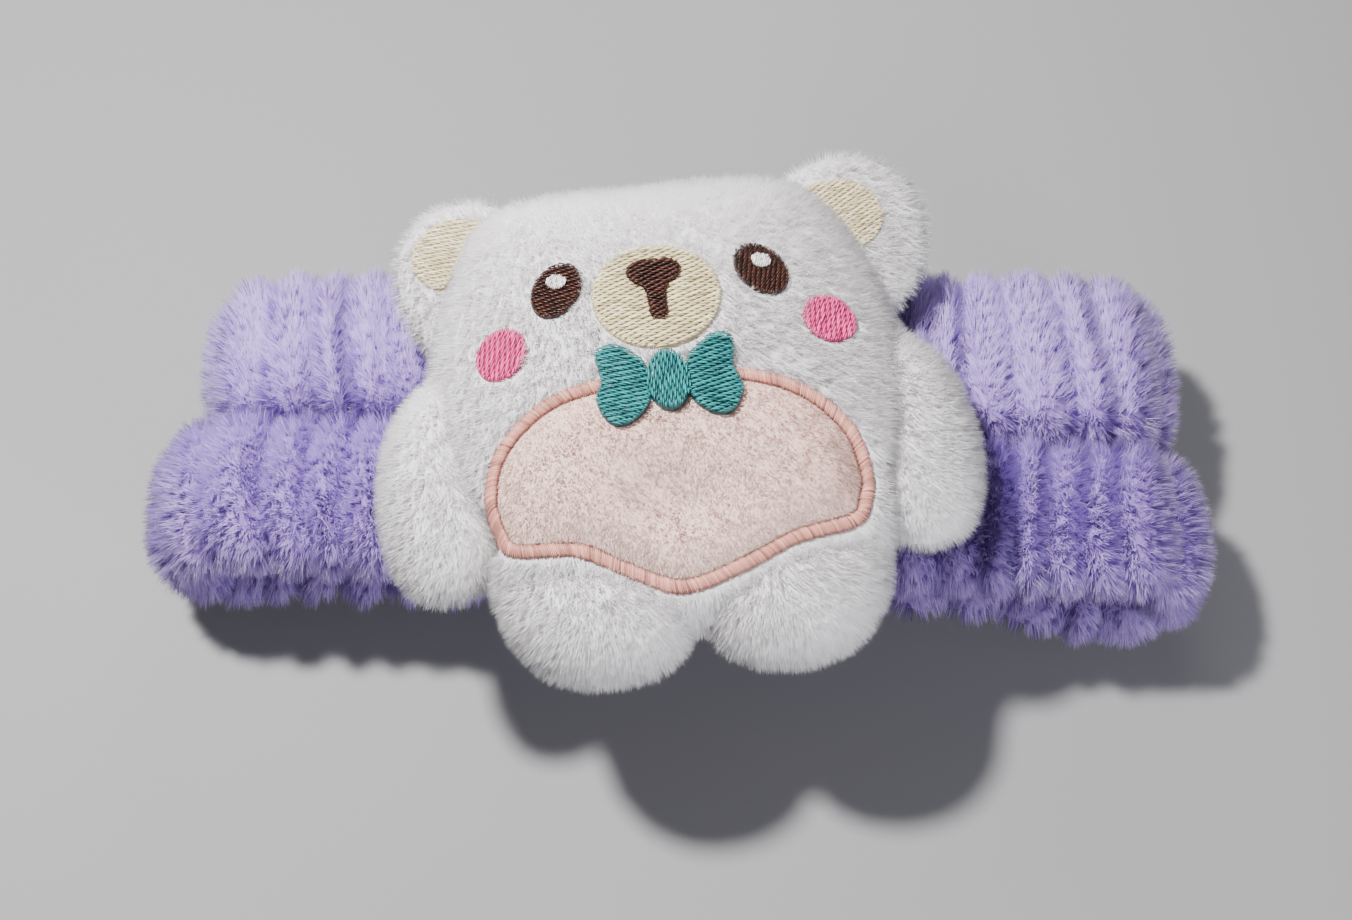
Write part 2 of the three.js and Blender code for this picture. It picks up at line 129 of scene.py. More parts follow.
lamps = {
    "key": {"place": (-215, 92, 600), "size": 56, "power": 13.2, "colour": (1.0, 0.985, 0.96)},
    "fill": {"place": (330, -470, 200), "size": 320, "power": 3.3, "colour": (0.95, 0.95, 1.0)},
    "back": {"place": (60, 520, 360), "size": 300, "power": 1.5, "colour": (0.97, 0.97, 1.0)},
}
lampAim = np.array([0, 0, 30])
room = {"colour": (0.80, 0.83, 0.90, 1), "strength": 0.15}
for name, lamp in lamps.items():
    data = bpy.data.lights.new(name, "AREA")
    data.shape = "DISK"
    data.size = lamp["size"] * mm
    data.energy = lamp["power"]
    data.color = lamp["colour"]
    thing = bpy.data.objects.new(name, data)
    bpy.context.collection.objects.link(thing)
    thing.location = np.array(lamp["place"]) * mm
    toAim = lampAim - np.array(lamp["place"])
    flat = math.hypot(toAim[0], toAim[1])
    thing.rotation_euler = (math.atan2(flat, -toAim[2]), 0, math.atan2(toAim[1], toAim[0]) - math.pi / 2)

world = bpy.data.worlds.new("room")
world.use_nodes = True
world.node_tree.nodes["Background"].inputs["Color"].default_value = room["colour"]
world.node_tree.nodes["Background"].inputs["Strength"].default_value = room["strength"]
bpy.context.scene.world = world
print("camera and light ready")


# making meshes and materials

def makePiece(name, points, faces, material=None, smooth=True):
    # points in millimetres, and faces of three or four corners each
    mesh = bpy.data.meshes.new(name)
    faces = np.asarray(faces, np.int32)
    count, corners = faces.shape
    mesh.vertices.add(len(points))
    mesh.vertices.foreach_set("co", (np.asarray(points) * mm).astype(np.float32).ravel())
    mesh.loops.add(count * corners)
    mesh.loops.foreach_set("vertex_index", faces.ravel())
    mesh.polygons.add(count)
    mesh.polygons.foreach_set("loop_start", np.arange(0, count * corners, corners, dtype=np.int32))
    mesh.polygons.foreach_set("use_smooth", np.full(count, smooth))
    mesh.update(calc_edges=True)
    piece = bpy.data.objects.new(name, mesh)
    bpy.context.collection.objects.link(piece)
    if material:
        mesh.materials.append(material)
    return piece


def addAttribute(mesh, name, values):
    # one number for each point, which the materials read
    layer = mesh.attributes.new(name, "FLOAT", "POINT")
    layer.data.foreach_set("value", np.asarray(values, np.float32))


def addShading(mesh, along, tone):
    # the same place along a fibre, and the same tone, all over a cloth; a place near the root gives the cloth
    # the pile's painted shade
    count = len(mesh.vertices)
    addAttribute(mesh, "along", np.full(count, along))
    addAttribute(mesh, "tone", np.full(count, tone))


def gridFaces(rows, columns, closeRows=False, closeColumns=False):
    # quads over a grid of points, which may close on itself either way
    r = np.arange(rows if closeRows else rows - 1)
    c = np.arange(columns if closeColumns else columns - 1)
    r, c = np.meshgrid(r, c, indexing="ij")
    r2, c2 = (r + 1) % rows, (c + 1) % columns
    quads = np.stack([r * columns + c, r * columns + c2, r2 * columns + c2, r2 * columns + c], -1)
    return quads.reshape(-1, 4)


def splitQuads(quads):
    return np.vstack([quads[:, [0, 1, 2]], quads[:, [0, 2, 3]]])


def tubeFaces(rows, columns, turned=False):
    # triangles over a tube's grid of points, with a fan over each end
    quads = gridFaces(rows, columns, closeColumns=True)
    fan = np.array([[0, i, i + 1] for i in range(1, columns - 1)])
    near, far = fan[:, ::-1], fan
    if turned:
        quads, near, far = quads[:, ::-1], far, near
    return np.vstack([splitQuads(quads), near, far + (rows - 1) * columns])


def smoothStep(x, low, high):
    # 0 below low, 1 above high, and a cubic with level ends between them
    t = np.clip((x - low) / (high - low), 0, 1)
    return t * t * (3 - 2 * t)


def unit(vectors):
    # each vector divided by its length
    return vectors / np.maximum(np.linalg.norm(vectors, axis=-1, keepdims=True), 1e-9)


def readMesh(piece):
    # the points, normals and triangles of a piece, in millimetres
    mesh = piece.data
    mesh.calc_loop_triangles()
    points = np.empty(len(mesh.vertices) * 3, np.float32)
    mesh.vertices.foreach_get("co", points)
    normals = np.empty(len(mesh.vertices) * 3, np.float32)
    mesh.vertex_normals.foreach_get("vector", normals)
    triangles = np.empty(len(mesh.loop_triangles) * 3, np.int32)
    mesh.loop_triangles.foreach_get("vertices", triangles)
    points, normals = points.reshape(-1, 3).astype(float) / mm, normals.reshape(-1, 3).astype(float)
    return points, normals, triangles.reshape(-1, 3)


def closedCurve(points, count):
    # a closed smooth curve through the points: each stretch is a cubic whose ends share their slopes
    points = np.asarray(points, float)
    n = len(points)
    at = np.linspace(0, n, count * 8, endpoint=False)
    i = at.astype(int)
    t = (at - i)[:, None]
    p0, p1, p2, p3 = (points[(i + k) % n] for k in (-1, 0, 1, 2))
    dense = 0.5 * (2 * p1 + (p2 - p0) * t + (2 * p0 - 5 * p1 + 4 * p2 - p3) * t**2
                   + (3 * p1 - p0 - 3 * p2 + p3) * t**3)
    step = np.linalg.norm(np.roll(dense, -1, 0) - dense, axis=1)
    length = np.concatenate([[0], np.cumsum(step)])
    where = np.linspace(0, length[-1], count, endpoint=False)
    closed = np.vstack([dense, dense[:1]])
    return np.stack([np.interp(where, length, closed[:, k]) for k in range(points.shape[1])], -1)


def isInside(places, outline):
    # a place lies inside an outline if a ray to the right crosses it an odd number of times
    x, y = places[:, 0][:, None], places[:, 1][:, None]
    x1, y1 = outline[:, 0], outline[:, 1]
    x2, y2 = np.roll(x1, -1), np.roll(y1, -1)
    crosses = ((y1 > y) != (y2 > y)) & (x < (x2 - x1) * (y - y1) / (y2 - y1 + 1e-12) + x1)
    return crosses.sum(1) % 2 == 1


def signedArea(outline):
    # twice the area inside an outline, and above nought if it runs anticlockwise
    x, y = outline[:, 0], outline[:, 1]
    return np.sum(x * np.roll(y, -1) - np.roll(x, -1) * y)


def grown(outline, amount):
    # an outline moved outwards by an amount, or inwards by a negative one
    along = unit(np.roll(outline, -1, 0) - np.roll(outline, 1, 0))
    out = np.stack([along[:, 1], -along[:, 0]], -1)
    return outline + out * amount * np.sign(signedArea(outline))


def newMaterial(name):
    material = bpy.data.materials.new(name)
    material.use_nodes = True
    return material, material.node_tree.nodes, material.node_tree.links


def addNode(tree, kind, **settings):
    node = tree.nodes.new(kind)
    for setting, value in settings.items():
        setattr(node, setting, value)
    return node


def mixColours(tree, share, first, second, blend="MIX"):
    # first and second mixed by a share; each is a socket or a colour
    mix = addNode(tree, "ShaderNodeMix", data_type="RGBA", blend_type=blend)
    for socket, value in (("Factor_Float", share), ("A_Color", first), ("B_Color", second)):
        target = next(one for one in mix.inputs if one.identifier == socket)
        if isinstance(value, bpy.types.NodeSocket):
            tree.links.new(value, target)
        else:
            target.default_value = value
    return next(one for one in mix.outputs if one.identifier == "Result_Color")


def stretchOf(tree, value, low, high):
    # the share that a value has gone from low to high
    span = addNode(tree, "ShaderNodeMapRange")
    for socket, end in (("Value", value), ("From Min", low), ("From Max", high)):
        if isinstance(end, bpy.types.NodeSocket):
            tree.links.new(end, span.inputs[socket])
        else:
            span.inputs[socket].default_value = end
    return span.outputs["Result"]


def startGroup(name, numbers, colours):
    # a node group with named inputs that puts out one colour
    group = bpy.data.node_groups.new(name, "ShaderNodeTree")
    for label in numbers:
        group.interface.new_socket(label, in_out="INPUT", socket_type="NodeSocketFloat")
    for label in colours:
        group.interface.new_socket(label, in_out="INPUT", socket_type="NodeSocketColor")
    group.interface.new_socket("Colour", in_out="OUTPUT", socket_type="NodeSocketColor")
    return group, group.nodes.new("NodeGroupInput").outputs, group.nodes.new("NodeGroupOutput").inputs


# a fibre's colour: root, middle and tip along it, times the tone of its tuft; the darker root and middle are
# painted shade among the fibres
fibreShade, given, result = startGroup("fibre shade", ["Along", "Tone", "Middle At"],
                                       ["Root", "Middle", "Tip", "Dark Tone", "Light Tone"])
nearRoot = stretchOf(fibreShade, given["Along"], 0.0, given["Middle At"])
nearTip = stretchOf(fibreShade, given["Along"], given["Middle At"], 1.0)
lowerHalf = mixColours(fibreShade, nearRoot, given["Root"], given["Middle"])
whole = mixColours(fibreShade, nearTip, lowerHalf, given["Tip"])
tuftTint = mixColours(fibreShade, given["Tone"], given["Dark Tone"], given["Light Tone"])
fibreShade.links.new(mixColours(fibreShade, 1.0, whole, tuftTint, "MULTIPLY"), result["Colour"])


def placeGroup(tree, group, values):
    # a group in a material, fed by the piece's own attributes and by the material's own values
    node = addNode(tree, "ShaderNodeGroup", node_tree=group)
    for label in ("Along", "Tone"):
        tree.links.new(addNode(tree, "ShaderNodeAttribute", attribute_name=label.lower()).outputs["Fac"],
                       node.inputs[label])
    for label, value in values.items():
        node.inputs[label].default_value = value if np.isscalar(value) else (*value, 1)
    return node.outputs["Colour"]


def pileMaterial(name, look):
    # fibres coloured by the group above, with painted shade towards their roots; light also comes through each
    # from its far side
    material, nodes, links = newMaterial(name)
    shader = nodes["Principled BSDF"]
    colour = placeGroup(material.node_tree, fibreShade, {
        "Root": look["root"], "Middle": look["middle"], "Tip": look["tip"], "Middle At": look["middleAt"],
        "Dark Tone": look["darkTone"], "Light Tone": look["lightTone"]})
    links.new(colour, shader.inputs["Base Color"])
    through = nodes.new("ShaderNodeBsdfTranslucent")
    links.new(colour, through.inputs["Color"])
    mix = nodes.new("ShaderNodeMixShader")
    mix.inputs[0].default_value = look["through"]
    links.new(shader.outputs[0], mix.inputs[1])
    links.new(through.outputs[0], mix.inputs[2])
    links.new(mix.outputs[0], nodes["Material Output"].inputs["Surface"])
    shader.inputs["Roughness"].default_value = look["roughness"]
    shader.inputs["Specular IOR Level"].default_value = look["gloss"]
    shader.inputs["Sheen Weight"].default_value = look["sheen"]
    shader.inputs["Sheen Roughness"].default_value = 0.4
    return material


blade = {
    "rootDepth": 0.3,  # how far each fibre starts under the cloth
    "reach": (0.78, 1.06),  # its length and width, as shares of the pile's
    "widths": (0.7, 1.3),
    "twist": 0.45,
    "sideways": 0.08,
    "tipShading": 0.15,  # how much its shading turns towards its tip
    "toneSpread": 0.07,
}


def growPile(name, skin, pile, seed, material, keep=None, lengthAt=None, toneAt=None, leanAt=None):
    # Tufts start at random places on the skin's triangles, as many as their area asks for. Each fibre is a
    # narrow blade: it leans the way its tuft leans and ends near the tuft's tip, and its flat side faces
    # outwards and shades like the skin under it.
    random = np.random.default_rng(seed)
    points, normals, triangles = readMesh(skin)
    a, b, c = (points[triangles[:, k]] for k in range(3))
    area = np.linalg.norm(np.cross(b - a, c - a), axis=1) / 2
    tuftCount = int(area.sum() * pile["tuftsPerArea"])
    which = random.choice(len(triangles), tuftCount, p=area / area.sum())
    u, v = random.random(tuftCount), random.random(tuftCount)
    flip = u + v > 1
    u[flip], v[flip] = 1 - u[flip], 1 - v[flip]
    shares = np.stack([1 - u - v, u, v], -1)[:, :, None]
    root = (points[triangles[which]] * shares).sum(1)
    normal = unit((normals[triangles[which]] * shares).sum(1))
    if keep is not None:
        kept = keep(root, normal, random)
        root, normal = root[kept], normal[kept]
        tuftCount = len(root)
    side = unit(np.cross(normal, unit(random.normal(size=(tuftCount, 3)))))
    lean = side * pile["wander"] * random.random((tuftCount, 1)) ** 0.5
    if leanAt is not None:
        lean = lean + leanAt(root, normal)
    reach = pile["length"] * (1 + pile["spread"] * random.uniform(-1, 1, tuftCount))
    if lengthAt is not None:
        reach = reach * lengthAt(root, normal)
    tuftTone = np.clip(random.normal(0.5, pile["toneSpread"], tuftCount), 0, 1)
    if toneAt is not None:
        tuftTone = np.clip(tuftTone + toneAt(root, normal), 0, 1)

    each = pile["fibresPerTuft"]
    total = tuftCount * each
    many = lambda values: np.repeat(values, each, 0)
    n, reach = many(normal), many(reach)[:, None] * random.uniform(*blade["reach"], (total, 1))
    offset = random.normal(size=(total, 3)) * pile["tuftRadius"]
    offset -= n * (offset * n).sum(1, keepdims=True)
    tuftRoot = many(root)
    root = tuftRoot + offset - n * blade["rootDepth"]
    way = unit(n + many(lean) + random.normal(size=(total, 3)) * pile["stray"])
    tip = tuftRoot + offset * (1 - pile["gather"]) + way * reach
    across = np.cross(way, n) + random.normal(size=(total, 3)) * blade["sideways"]
    across = unit(across - way * (across * way).sum(1, keepdims=True))
    flat = np.cross(across, way)
    twist = random.normal(0, blade["twist"], (total, 1))
    c, s = np.cos(twist), np.sin(twist)
    across, flat = across * c + flat * s, flat * c - across * s
    half = across * pile["width"] / 2 * random.uniform(*blade["widths"], (total, 1))
    bladePoints = np.stack([root - half, root + half, tip], 1)
    if pile.get("floor") is not None:
        bladePoints[..., 2] = np.maximum(bladePoints[..., 2], pile["floor"])
    faces = np.arange(total * 3).reshape(-1, 3)
    piece = makePiece(name, bladePoints.reshape(-1, 3), faces, material)
    shading = unit(n * pile["softness"] + flat * (1 - pile["softness"]) + way * blade["tipShading"])
    piece.data.normals_split_custom_set_from_vertices(np.repeat(shading, 3, 0))
    tones = np.clip(many(tuftTone) + random.normal(0, blade["toneSpread"], total), 0, 1)
    setStripMap(piece, faces, np.repeat(tones, 3), along=np.tile([0, 0, 1.0], total),
                across=np.tile([0, 0.004, 0.002], total))
    return piece


def setStripMap(piece, faces, tone, along, across):
    # attributes for the material, and a map where pieces of one tone share a narrow upright strip
    addAttribute(piece.data, "along", along)
    addAttribute(piece.data, "tone", tone)
    corner = faces.ravel()
    layer = piece.data.uv_layers.new(name="OFBake")
    places = np.stack([tone[corner] * 0.99 + across[corner], along[corner] * 0.98 + 0.01], -1)
    layer.data.foreach_set("uv", places.astype(np.float32).ravel())


# the band

band = {
    "skinInset": 3.4,  # the cloth lies this far inside the outer shape, which the pile fills
    "rowStep": 0.9,  # the grid's step along the loop, and its points round a roll
    "around": 44,
    "squareness": 0.86,
    "gatherEvery": (5.0, 13.5),
    "gatherDepth": (0.22, 0.70),
    "gatherWander": (1.3, 0.8),  # how far the grooves stray as they go round
    "tuck": 4.0,  # how far the rear layer's lower edge is drawn up
    "seamDrop": 6.5,  # how much lower the seam runs at the right
    "edgeDrop": 3.0,
    "lap": 4.0,
    "flatAt": 0.6,  # the height of the lowest cloth over the floor
    "upperShortLeft": 9.0,  # how much sooner the upper roll ends than the lower one
    "upperShortRight": 4.0,
}
bandPile = {
    "tuftsPerArea": 1.35, "fibresPerTuft": 7, "tuftRadius": 0.42, "length": 4.0, "spread": 0.10,
    "wander": 0.2, "stray": 0.08, "gather": 0.3, "width": 0.23, "toneSpread": 0.2, "softness": 0.8,
    "floor": 0.15,
}
# root and middle darker than the tip: painted shade among the fibres
plushLook = {
    "root": (0.31, 0.205, 0.52), "middle": (0.52, 0.385, 0.78), "tip": (0.63, 0.51, 0.86), "middleAt": 0.4,
    "darkTone": (0.84, 0.80, 0.90), "lightTone": (1.0, 1.0, 1.0), "roughness": 0.7, "gloss": 0.2,
    "sheen": 0.2, "through": 0.42,
}
half = layerThickness / 2
bendRadius = midHeight - half  # of the middle of a layer's thickness
straight = foldX
turn = math.pi * bendRadius
loopLength = 4 * straight + 2 * turn
stops = {
    "rearCentre": 0.0,
    "rearLeft": (hingeX + foldX) / 2,
    "leftFold": straight + turn / 2,
    "frontLeft": straight + turn + foldX - (hingeX + foldX) / 2,
    "frontCentre": 2 * straight + turn,
    "openPivot": 2 * straight + turn + hingeX,
    "frontRight": 2 * straight + turn + (hingeX + foldX) / 2,
    "rightFold": 3 * straight + 1.5 * turn,
    "rearRight": 3 * straight + 2 * turn + foldX - (hingeX + foldX) / 2,
    "end": loopLength,
}


def loopPlaces(s, y, t):
    # s runs along the middle of the loop's thickness from the rear's middle to the left, and t is the
    # height over that line, outwards; straight runs are joined by half turns
    x = np.empty_like(s)
    z = np.empty_like(s)
    marks = np.cumsum([straight, turn, 2 * straight, turn, straight])
    run = np.searchsorted(marks, s, side="right").clip(0, 4)
    rear1, left, front, right, rear2 = (run == k for k in range(5))
    x[rear1] = -s[rear1]
    z[rear1] = half - t[rear1]
    angle = -math.pi / 2 + (s[left] - marks[0]) / bendRadius
    x[left] = -foldX - (bendRadius + t[left]) * np.cos(angle)
    z[left] = midHeight + (bendRadius + t[left]) * np.sin(angle)
    x[front] = -foldX + (s[front] - marks[1])
    z[front] = 2 * midHeight - half + t[front]
    angle = math.pi / 2 - (s[right] - marks[2]) / bendRadius
    x[right] = foldX + (bendRadius + t[right]) * np.cos(angle)
    z[right] = midHeight + (bendRadius + t[right]) * np.sin(angle)
    x[rear2] = foldX - (s[rear2] - marks[3])
    z[rear2] = half - t[rear2]
    return np.stack([x, y, z], -1)


def sway(x, y):
    # to the right the seam between the rolls runs lower, and so does the lower roll's edge; to the left
    # that edge runs higher
    right, left = smoothStep(x, 0, 100), smoothStep(-x, 30, 105)
    top, bottom = rearHigh[1], rearLow[1]
    nearSeam = np.clip(1 - np.abs(y - seamY) / np.where(y > seamY, top - seamY, seamY - bottom), 0, 1)
    atBottom = smoothStep(seamY - y, 0, seamY - bottom)
    return -nearSeam * band["seamDrop"] * right - atBottom * band["edgeDrop"] * (right - left)


def upperShift(x):
    # the upper roll ends sooner than the lower one at both ends
    left, right = smoothStep(-x, 40, bandEnd), smoothStep(x, 40, bandEnd)
    return band["upperShortLeft"] * left - band["upperShortRight"] * right


def gatherLines(seed):
    # where the gathers' grooves lie along the loop, and how deep each is
    random = np.random.default_rng(seed)
    count = int(loopLength / np.mean(band["gatherEvery"]))
    gaps = random.uniform(*band["gatherEvery"], count)
    lines = np.cumsum(gaps) / gaps.sum() * loopLength
    depths = random.uniform(*band["gatherDepth"], count)
    return lines, depths


def tuckedBy(places):
    # the rear layer's lower edge is tucked in, but for its left and right ends
    behind = 1 - smoothStep(places[..., 2], midHeight - 6, midHeight + 4)
    between = 1 - smoothStep(np.abs(places[..., 0] + 10), 72, 100)
    return band["tuck"] * behind * between * smoothStep(lowerMiddle - places[..., 1], -4, 8)


def squared(v, power):
    # a power below one makes a ring squarer
    return np.sign(v) * np.abs(v) ** power


def settle(places, roll):
    # the shifts that cloth and elastic share
    if roll == "upper":
        places[..., 0] += upperShift(places[..., 0])
    else:
        places[..., 1] += tuckedBy(places)
    places[..., 1] += sway(places[..., 0], places[..., 1])


def rollPoints(roll, s, phi, seed):
    # one roll's cloth: a squared ring round the elastic, narrowed at each gather's groove; between two
    # grooves it swells as a root of a sine, and the grooves wander as they go round
    lines, depths = gatherLines(seed)
    sign = 1 if roll == "upper" else -1
    middle = upperMiddle if roll == "upper" else lowerMiddle
    halfHeight = rollSizes[roll] / 2 - band["skinInset"]
    halfThick = half - band["skinInset"]
    once, twice = band["gatherWander"]
    wander = once * np.sin(phi + 0.045 * s) + twice * np.sin(2 * phi - 0.11 * s + seed)
    at = (s + wander) % loopLength
    i = np.searchsorted(lines, at).clip(0, len(lines) - 1)
    before = np.where(i > 0, lines[i - 1], lines[-1] - loopLength)
    share = np.clip((at - before) / np.maximum(lines[i] - before, 1e-6), 0, 1)
    swell = np.sin(math.pi * share) ** 0.7
    depth = np.where(share < 0.5, depths[i - 1], depths[i])
    facesSlot = np.clip(-np.sin(phi), 0, 1)
    scale = 1 - depth * (1 - swell) * (1 - 0.55 * facesSlot)
    scale = scale * (1 + 0.035 * np.sin(0.09 * s + 1.7 * seed) + 0.02 * np.sin(0.31 * s + phi))
    across = halfHeight * squared(np.cos(phi), band["squareness"]) * (0.48 + 0.52 * scale)
    t = halfThick * squared(np.sin(phi), band["squareness"]) * scale
    # towards the seam the roll keeps its width, so that the two cloths meet
    nearSeam = np.clip(-np.cos(phi), 0, 1) ** 3
    across = across - nearSeam * (band["skinInset"] - 0.3)
    y = middle + sign * across
    places = loopPlaces(s, y, t)
    settle(places, roll)
    # the cloth lies flat where it rests
    places[..., 2] = np.maximum(places[..., 2], rearLow[2] + band["flatAt"])
    return places


plush = pileMaterial("plush", plushLook)
stretches = [
    ("rear_left_bend", "rearCentre", "rearLeft", "rear_centre", "rear_left"),
    ("left_fold_lower_bend", "rearLeft", "leftFold", "rear_left", "left_fold"),
    ("left_fold_upper_bend", "leftFold", "frontLeft", "left_fold", "front_left"),
    ("front_left_bend", "frontLeft", "frontCentre", "front_left", "front_centre"),
    ("front_middle", "frontCentre", "openPivot", "front_centre", None),
    ("front_right_part", "openPivot", "frontRight", "front_right", None),
    ("right_fold_upper_bend", "frontRight", "rightFold", "front_right", "right_fold"),
    ("right_fold_lower_bend", "rightFold", "rearRight", "right_fold", "rear_right"),
    ("rear_right_bend", "rearRight", "end", "rear_right", "rear_centre"),
]
# the frame's covers that each stretch's cloth stands in for, hidden when it is made
replaced = {
    "rear_left_bend": ["rear_centre", "rear_left"],
    "left_fold_lower_bend": ["left_fold"],
    "front_left_bend": ["front_left", "front_centre"],
    "front_right_part": ["front_right"],
    "right_fold_lower_bend": ["right_fold"],
    "rear_right_bend": ["rear_right"],
}


def placeOnBand(piece, bodyA, bodyB):
    # a piece follows one body, or, where it spans two bodies, keeps its place baked into its points
    if bodyB is None:
        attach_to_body(piece, bodyA)
    else:
        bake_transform(piece)


def insideSlot(root):
    # where the two layers face each other
    nearMiddle = np.abs(root[:, 2] - midHeight) < midHeight - layerThickness + 4.5
    return nearMiddle & (np.abs(root[:, 0]) < foldX + 2)


def slotShortness(root, normal):
    # the pile is short where the layers face each other and where the band rests
    under = smoothStep(-normal[:, 2], 0.5, 0.9) * (root[:, 2] < half)
    return np.where(insideSlot(root), 0.42, 1.0) * (1 - 0.45 * under)


def visibleBand(root, normal, random):
    # fewer tufts where the layers face each other, and where the band rests or the bear lies on it
    share = np.where(insideSlot(root), 0.13, 1.0)
    share = np.where((normal[:, 2] < -0.3) & (root[:, 2] < half), 0.4, share)
    share = np.where((normal[:, 2] > -0.2) & (root[:, 2] > midHeight) & (np.abs(root[:, 0]) < 36), 0.25, share)
    share = np.where((root[:, 2] < midHeight) & (np.abs(root[:, 0]) < 80), np.minimum(share, 0.5), share)
    return random.random(len(root)) < share


def pileLean(root, normal):
    # the pile lies over a little, up the upper roll and down the lower one, and stands up from the
    # gathers' flanks instead of crossing them
    lean = np.zeros_like(root)
    lean[:, 1] = np.where(root[:, 1] > seamY, 0.26, -0.26)
    within = 1 - smoothStep(np.abs(root[:, 0]), 84, 106)
    lean[:, 0] = 0.14 * np.sin(root[:, 0] * 0.55 + root[:, 1] * 0.12) - 0.62 * normal[:, 0] * within
    return lean


for number, (name, first, last, bodyA, bodyB) in enumerate(stretches):
    # at the open pivot the two cloths lap over each other, so that no gap shows when the loop opens
    s0 = stops[first] - (band["lap"] if first == "openPivot" else 0)
    s1 = stops[last] + (band["lap"] if last == "openPivot" else 0)
    count = max(8, int((s1 - s0) / band["rowStep"]))
    s = np.linspace(s0, s1, count)[:, None] * np.ones(band["around"])
    phi = np.linspace(0, 2 * math.pi, band["around"], endpoint=False) * np.ones((count, 1))
    s = np.minimum(s, loopLength - 1e-6)
    faces = gridFaces(count, band["around"], closeColumns=True)
    upper = rollPoints("upper", s, phi, 3).reshape(-1, 3)
    lower = rollPoints("lower", s, phi, 8).reshape(-1, 3)
    points = np.vstack([upper, lower])
    allFaces = np.vstack([faces, faces[:, ::-1] + len(upper)])
    skin = makePiece(f"{name}_cloth", points, allFaces, plush)
    # far from the seam an outward normal points away from it
    meshPoints, meshNormals, _ = readMesh(skin)
    fromSeam = meshPoints[:, 1] - seamY
    if (meshNormals[:, 1] * np.sign(fromSeam) * (np.abs(fromSeam) > 25)).sum() < 0:
        skin.data.flip_normals()
        skin.data.update()
    # the cloth takes the fibres' darkest colour, at their roots, and a darker tone: painted shade under the
    # pile
    addShading(skin.data, along=0.08, tone=0.4)
    pile = growPile(f"{name}_pile", skin, bandPile, 40 + number, plush,
                    keep=visibleBand, lengthAt=slotShortness, leanAt=pileLean)
    placeOnBand(skin, bodyA, bodyB)
    placeOnBand(pile, bodyA, bodyB)
    for body in replaced.get(name, []):
        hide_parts(f"{body}_cover")

# the two flat elastics inside, woven across their width
elasticStrip = {
    "width": 18.6, "thickness": 2.0, "around": 16, "squareness": 0.3,
    "dark": (0.62, 0.61, 0.60, 1), "light": (0.86, 0.85, 0.83, 1), "ribScale": 420, "ribDepth": 0.0003,
}
elastic, elasticNodes, elasticLinks = newMaterial("elastic")
elasticShader = elasticNodes["Principled BSDF"]
elasticShader.inputs["Roughness"].default_value = 0.85
weave = addNode(elastic.node_tree, "ShaderNodeTexWave", bands_direction="Y")
weave.inputs["Scale"].default_value = elasticStrip["ribScale"]
weave.inputs["Distortion"].default_value = 0.4
elasticLinks.new(elasticNodes.new("ShaderNodeTexCoord").outputs["Object"], weave.inputs["Vector"])
ribColour = mixColours(elastic.node_tree, weave.outputs["Fac"], elasticStrip["dark"], elasticStrip["light"])
elasticLinks.new(ribColour, elasticShader.inputs["Base Color"])
weaveBump = elasticNodes.new("ShaderNodeBump")
weaveBump.inputs["Strength"].default_value = 0.4
weaveBump.inputs["Distance"].default_value = elasticStrip["ribDepth"]
elasticLinks.new(weave.outputs["Fac"], weaveBump.inputs["Height"])
elasticLinks.new(weaveBump.outputs["Normal"], elasticShader.inputs["Normal"])

for name, first, last, bodyA, bodyB in stretches:
    s0, s1 = stops[first], stops[last] - 1e-6
    count = max(8, int((s1 - s0) / 3))
    s = np.linspace(s0, s1, count)[:, None] * np.ones(elasticStrip["around"])
    phi = np.linspace(0, 2 * math.pi, elasticStrip["around"], endpoint=False) * np.ones((count, 1))
    for roll, middle in (("upper", upperMiddle), ("lower", lowerMiddle)):
        width = squared(np.cos(phi), elasticStrip["squareness"]) * elasticStrip["width"]
        thickness = squared(np.sin(phi), elasticStrip["squareness"]) * elasticStrip["thickness"]
        places = loopPlaces(s, middle + width / 2, thickness / 2)
        settle(places, roll)
        faces = tubeFaces(count, elasticStrip["around"])
        strip = makePiece(f"{name}_{roll}_elastic", places.reshape(-1, 3), faces, elastic)
        placeOnBand(strip, bodyA, bodyB)
        for body in replaced.get(name, []):
            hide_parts(f"{body}_{roll}_elastic")
print("band ready")


# the bear: outlines are across and up from the bow's knot, for its right half or right limb
bear = {
    "body": [(0, 49.2), (15, 49.2), (28.5, 47.6), (36.4, 40.8), (41.2, 30.4), (44.8, 19.4), (47.8, 6.4),
             (46.2, -6), (43.4, -17), (40.2, -26), (37.6, -36.6), (26, -40.4), (14, -44), (0, -47.6)],
    "arm": [(43, 11), (38, -10), (36, -28), (43, -34.6), (51.4, -34.4), (57, -28), (58.8, -14), (55.6, 1),
            (50, 8)],
    "armSeam": ((48.6, 6.4), (40.6, -25.6)),
    "armMiddle": (49, -12),
    "leg": [(36.5, -31), (18, -30), (3, -38), (1.8, -46), (6.4, -52.8), (16.5, -55.6), (26.6, -54),
            (33.6, -48), (37.0, -40)],
    "legSeam": ((37.8, -36.6), (2, -47.1)),
    "legMiddle": (19, -44),
    "leftEar": [(38, 31), (29, 43), (28, 50.5), (36.4, 54.4), (45.6, 52.4), (51.8, 45), (53, 35.5),
                (50.5, 26), (46, 19.5), (41, 22)],
    "rightEar": [(38, 31), (30, 43), (31, 51.5), (40, 56.2), (50, 54.6), (57, 47), (58.2, 36.5),
                 (54.5, 25.5), (47, 18.5), (41, 22)],
    "earSeam": ((31.3, 50.4), (49, 19.4)),
    "earMiddle": (44, 36),
    "pressure": 4.0,
    "voxel": 2.6,
    "frames": 20,
    "quickVoxel": 1.3,
    "quickFrames": 6,
    "skinInset": 1.6,  # the cloth lies this far inside the outer shape, which the pile fills
}
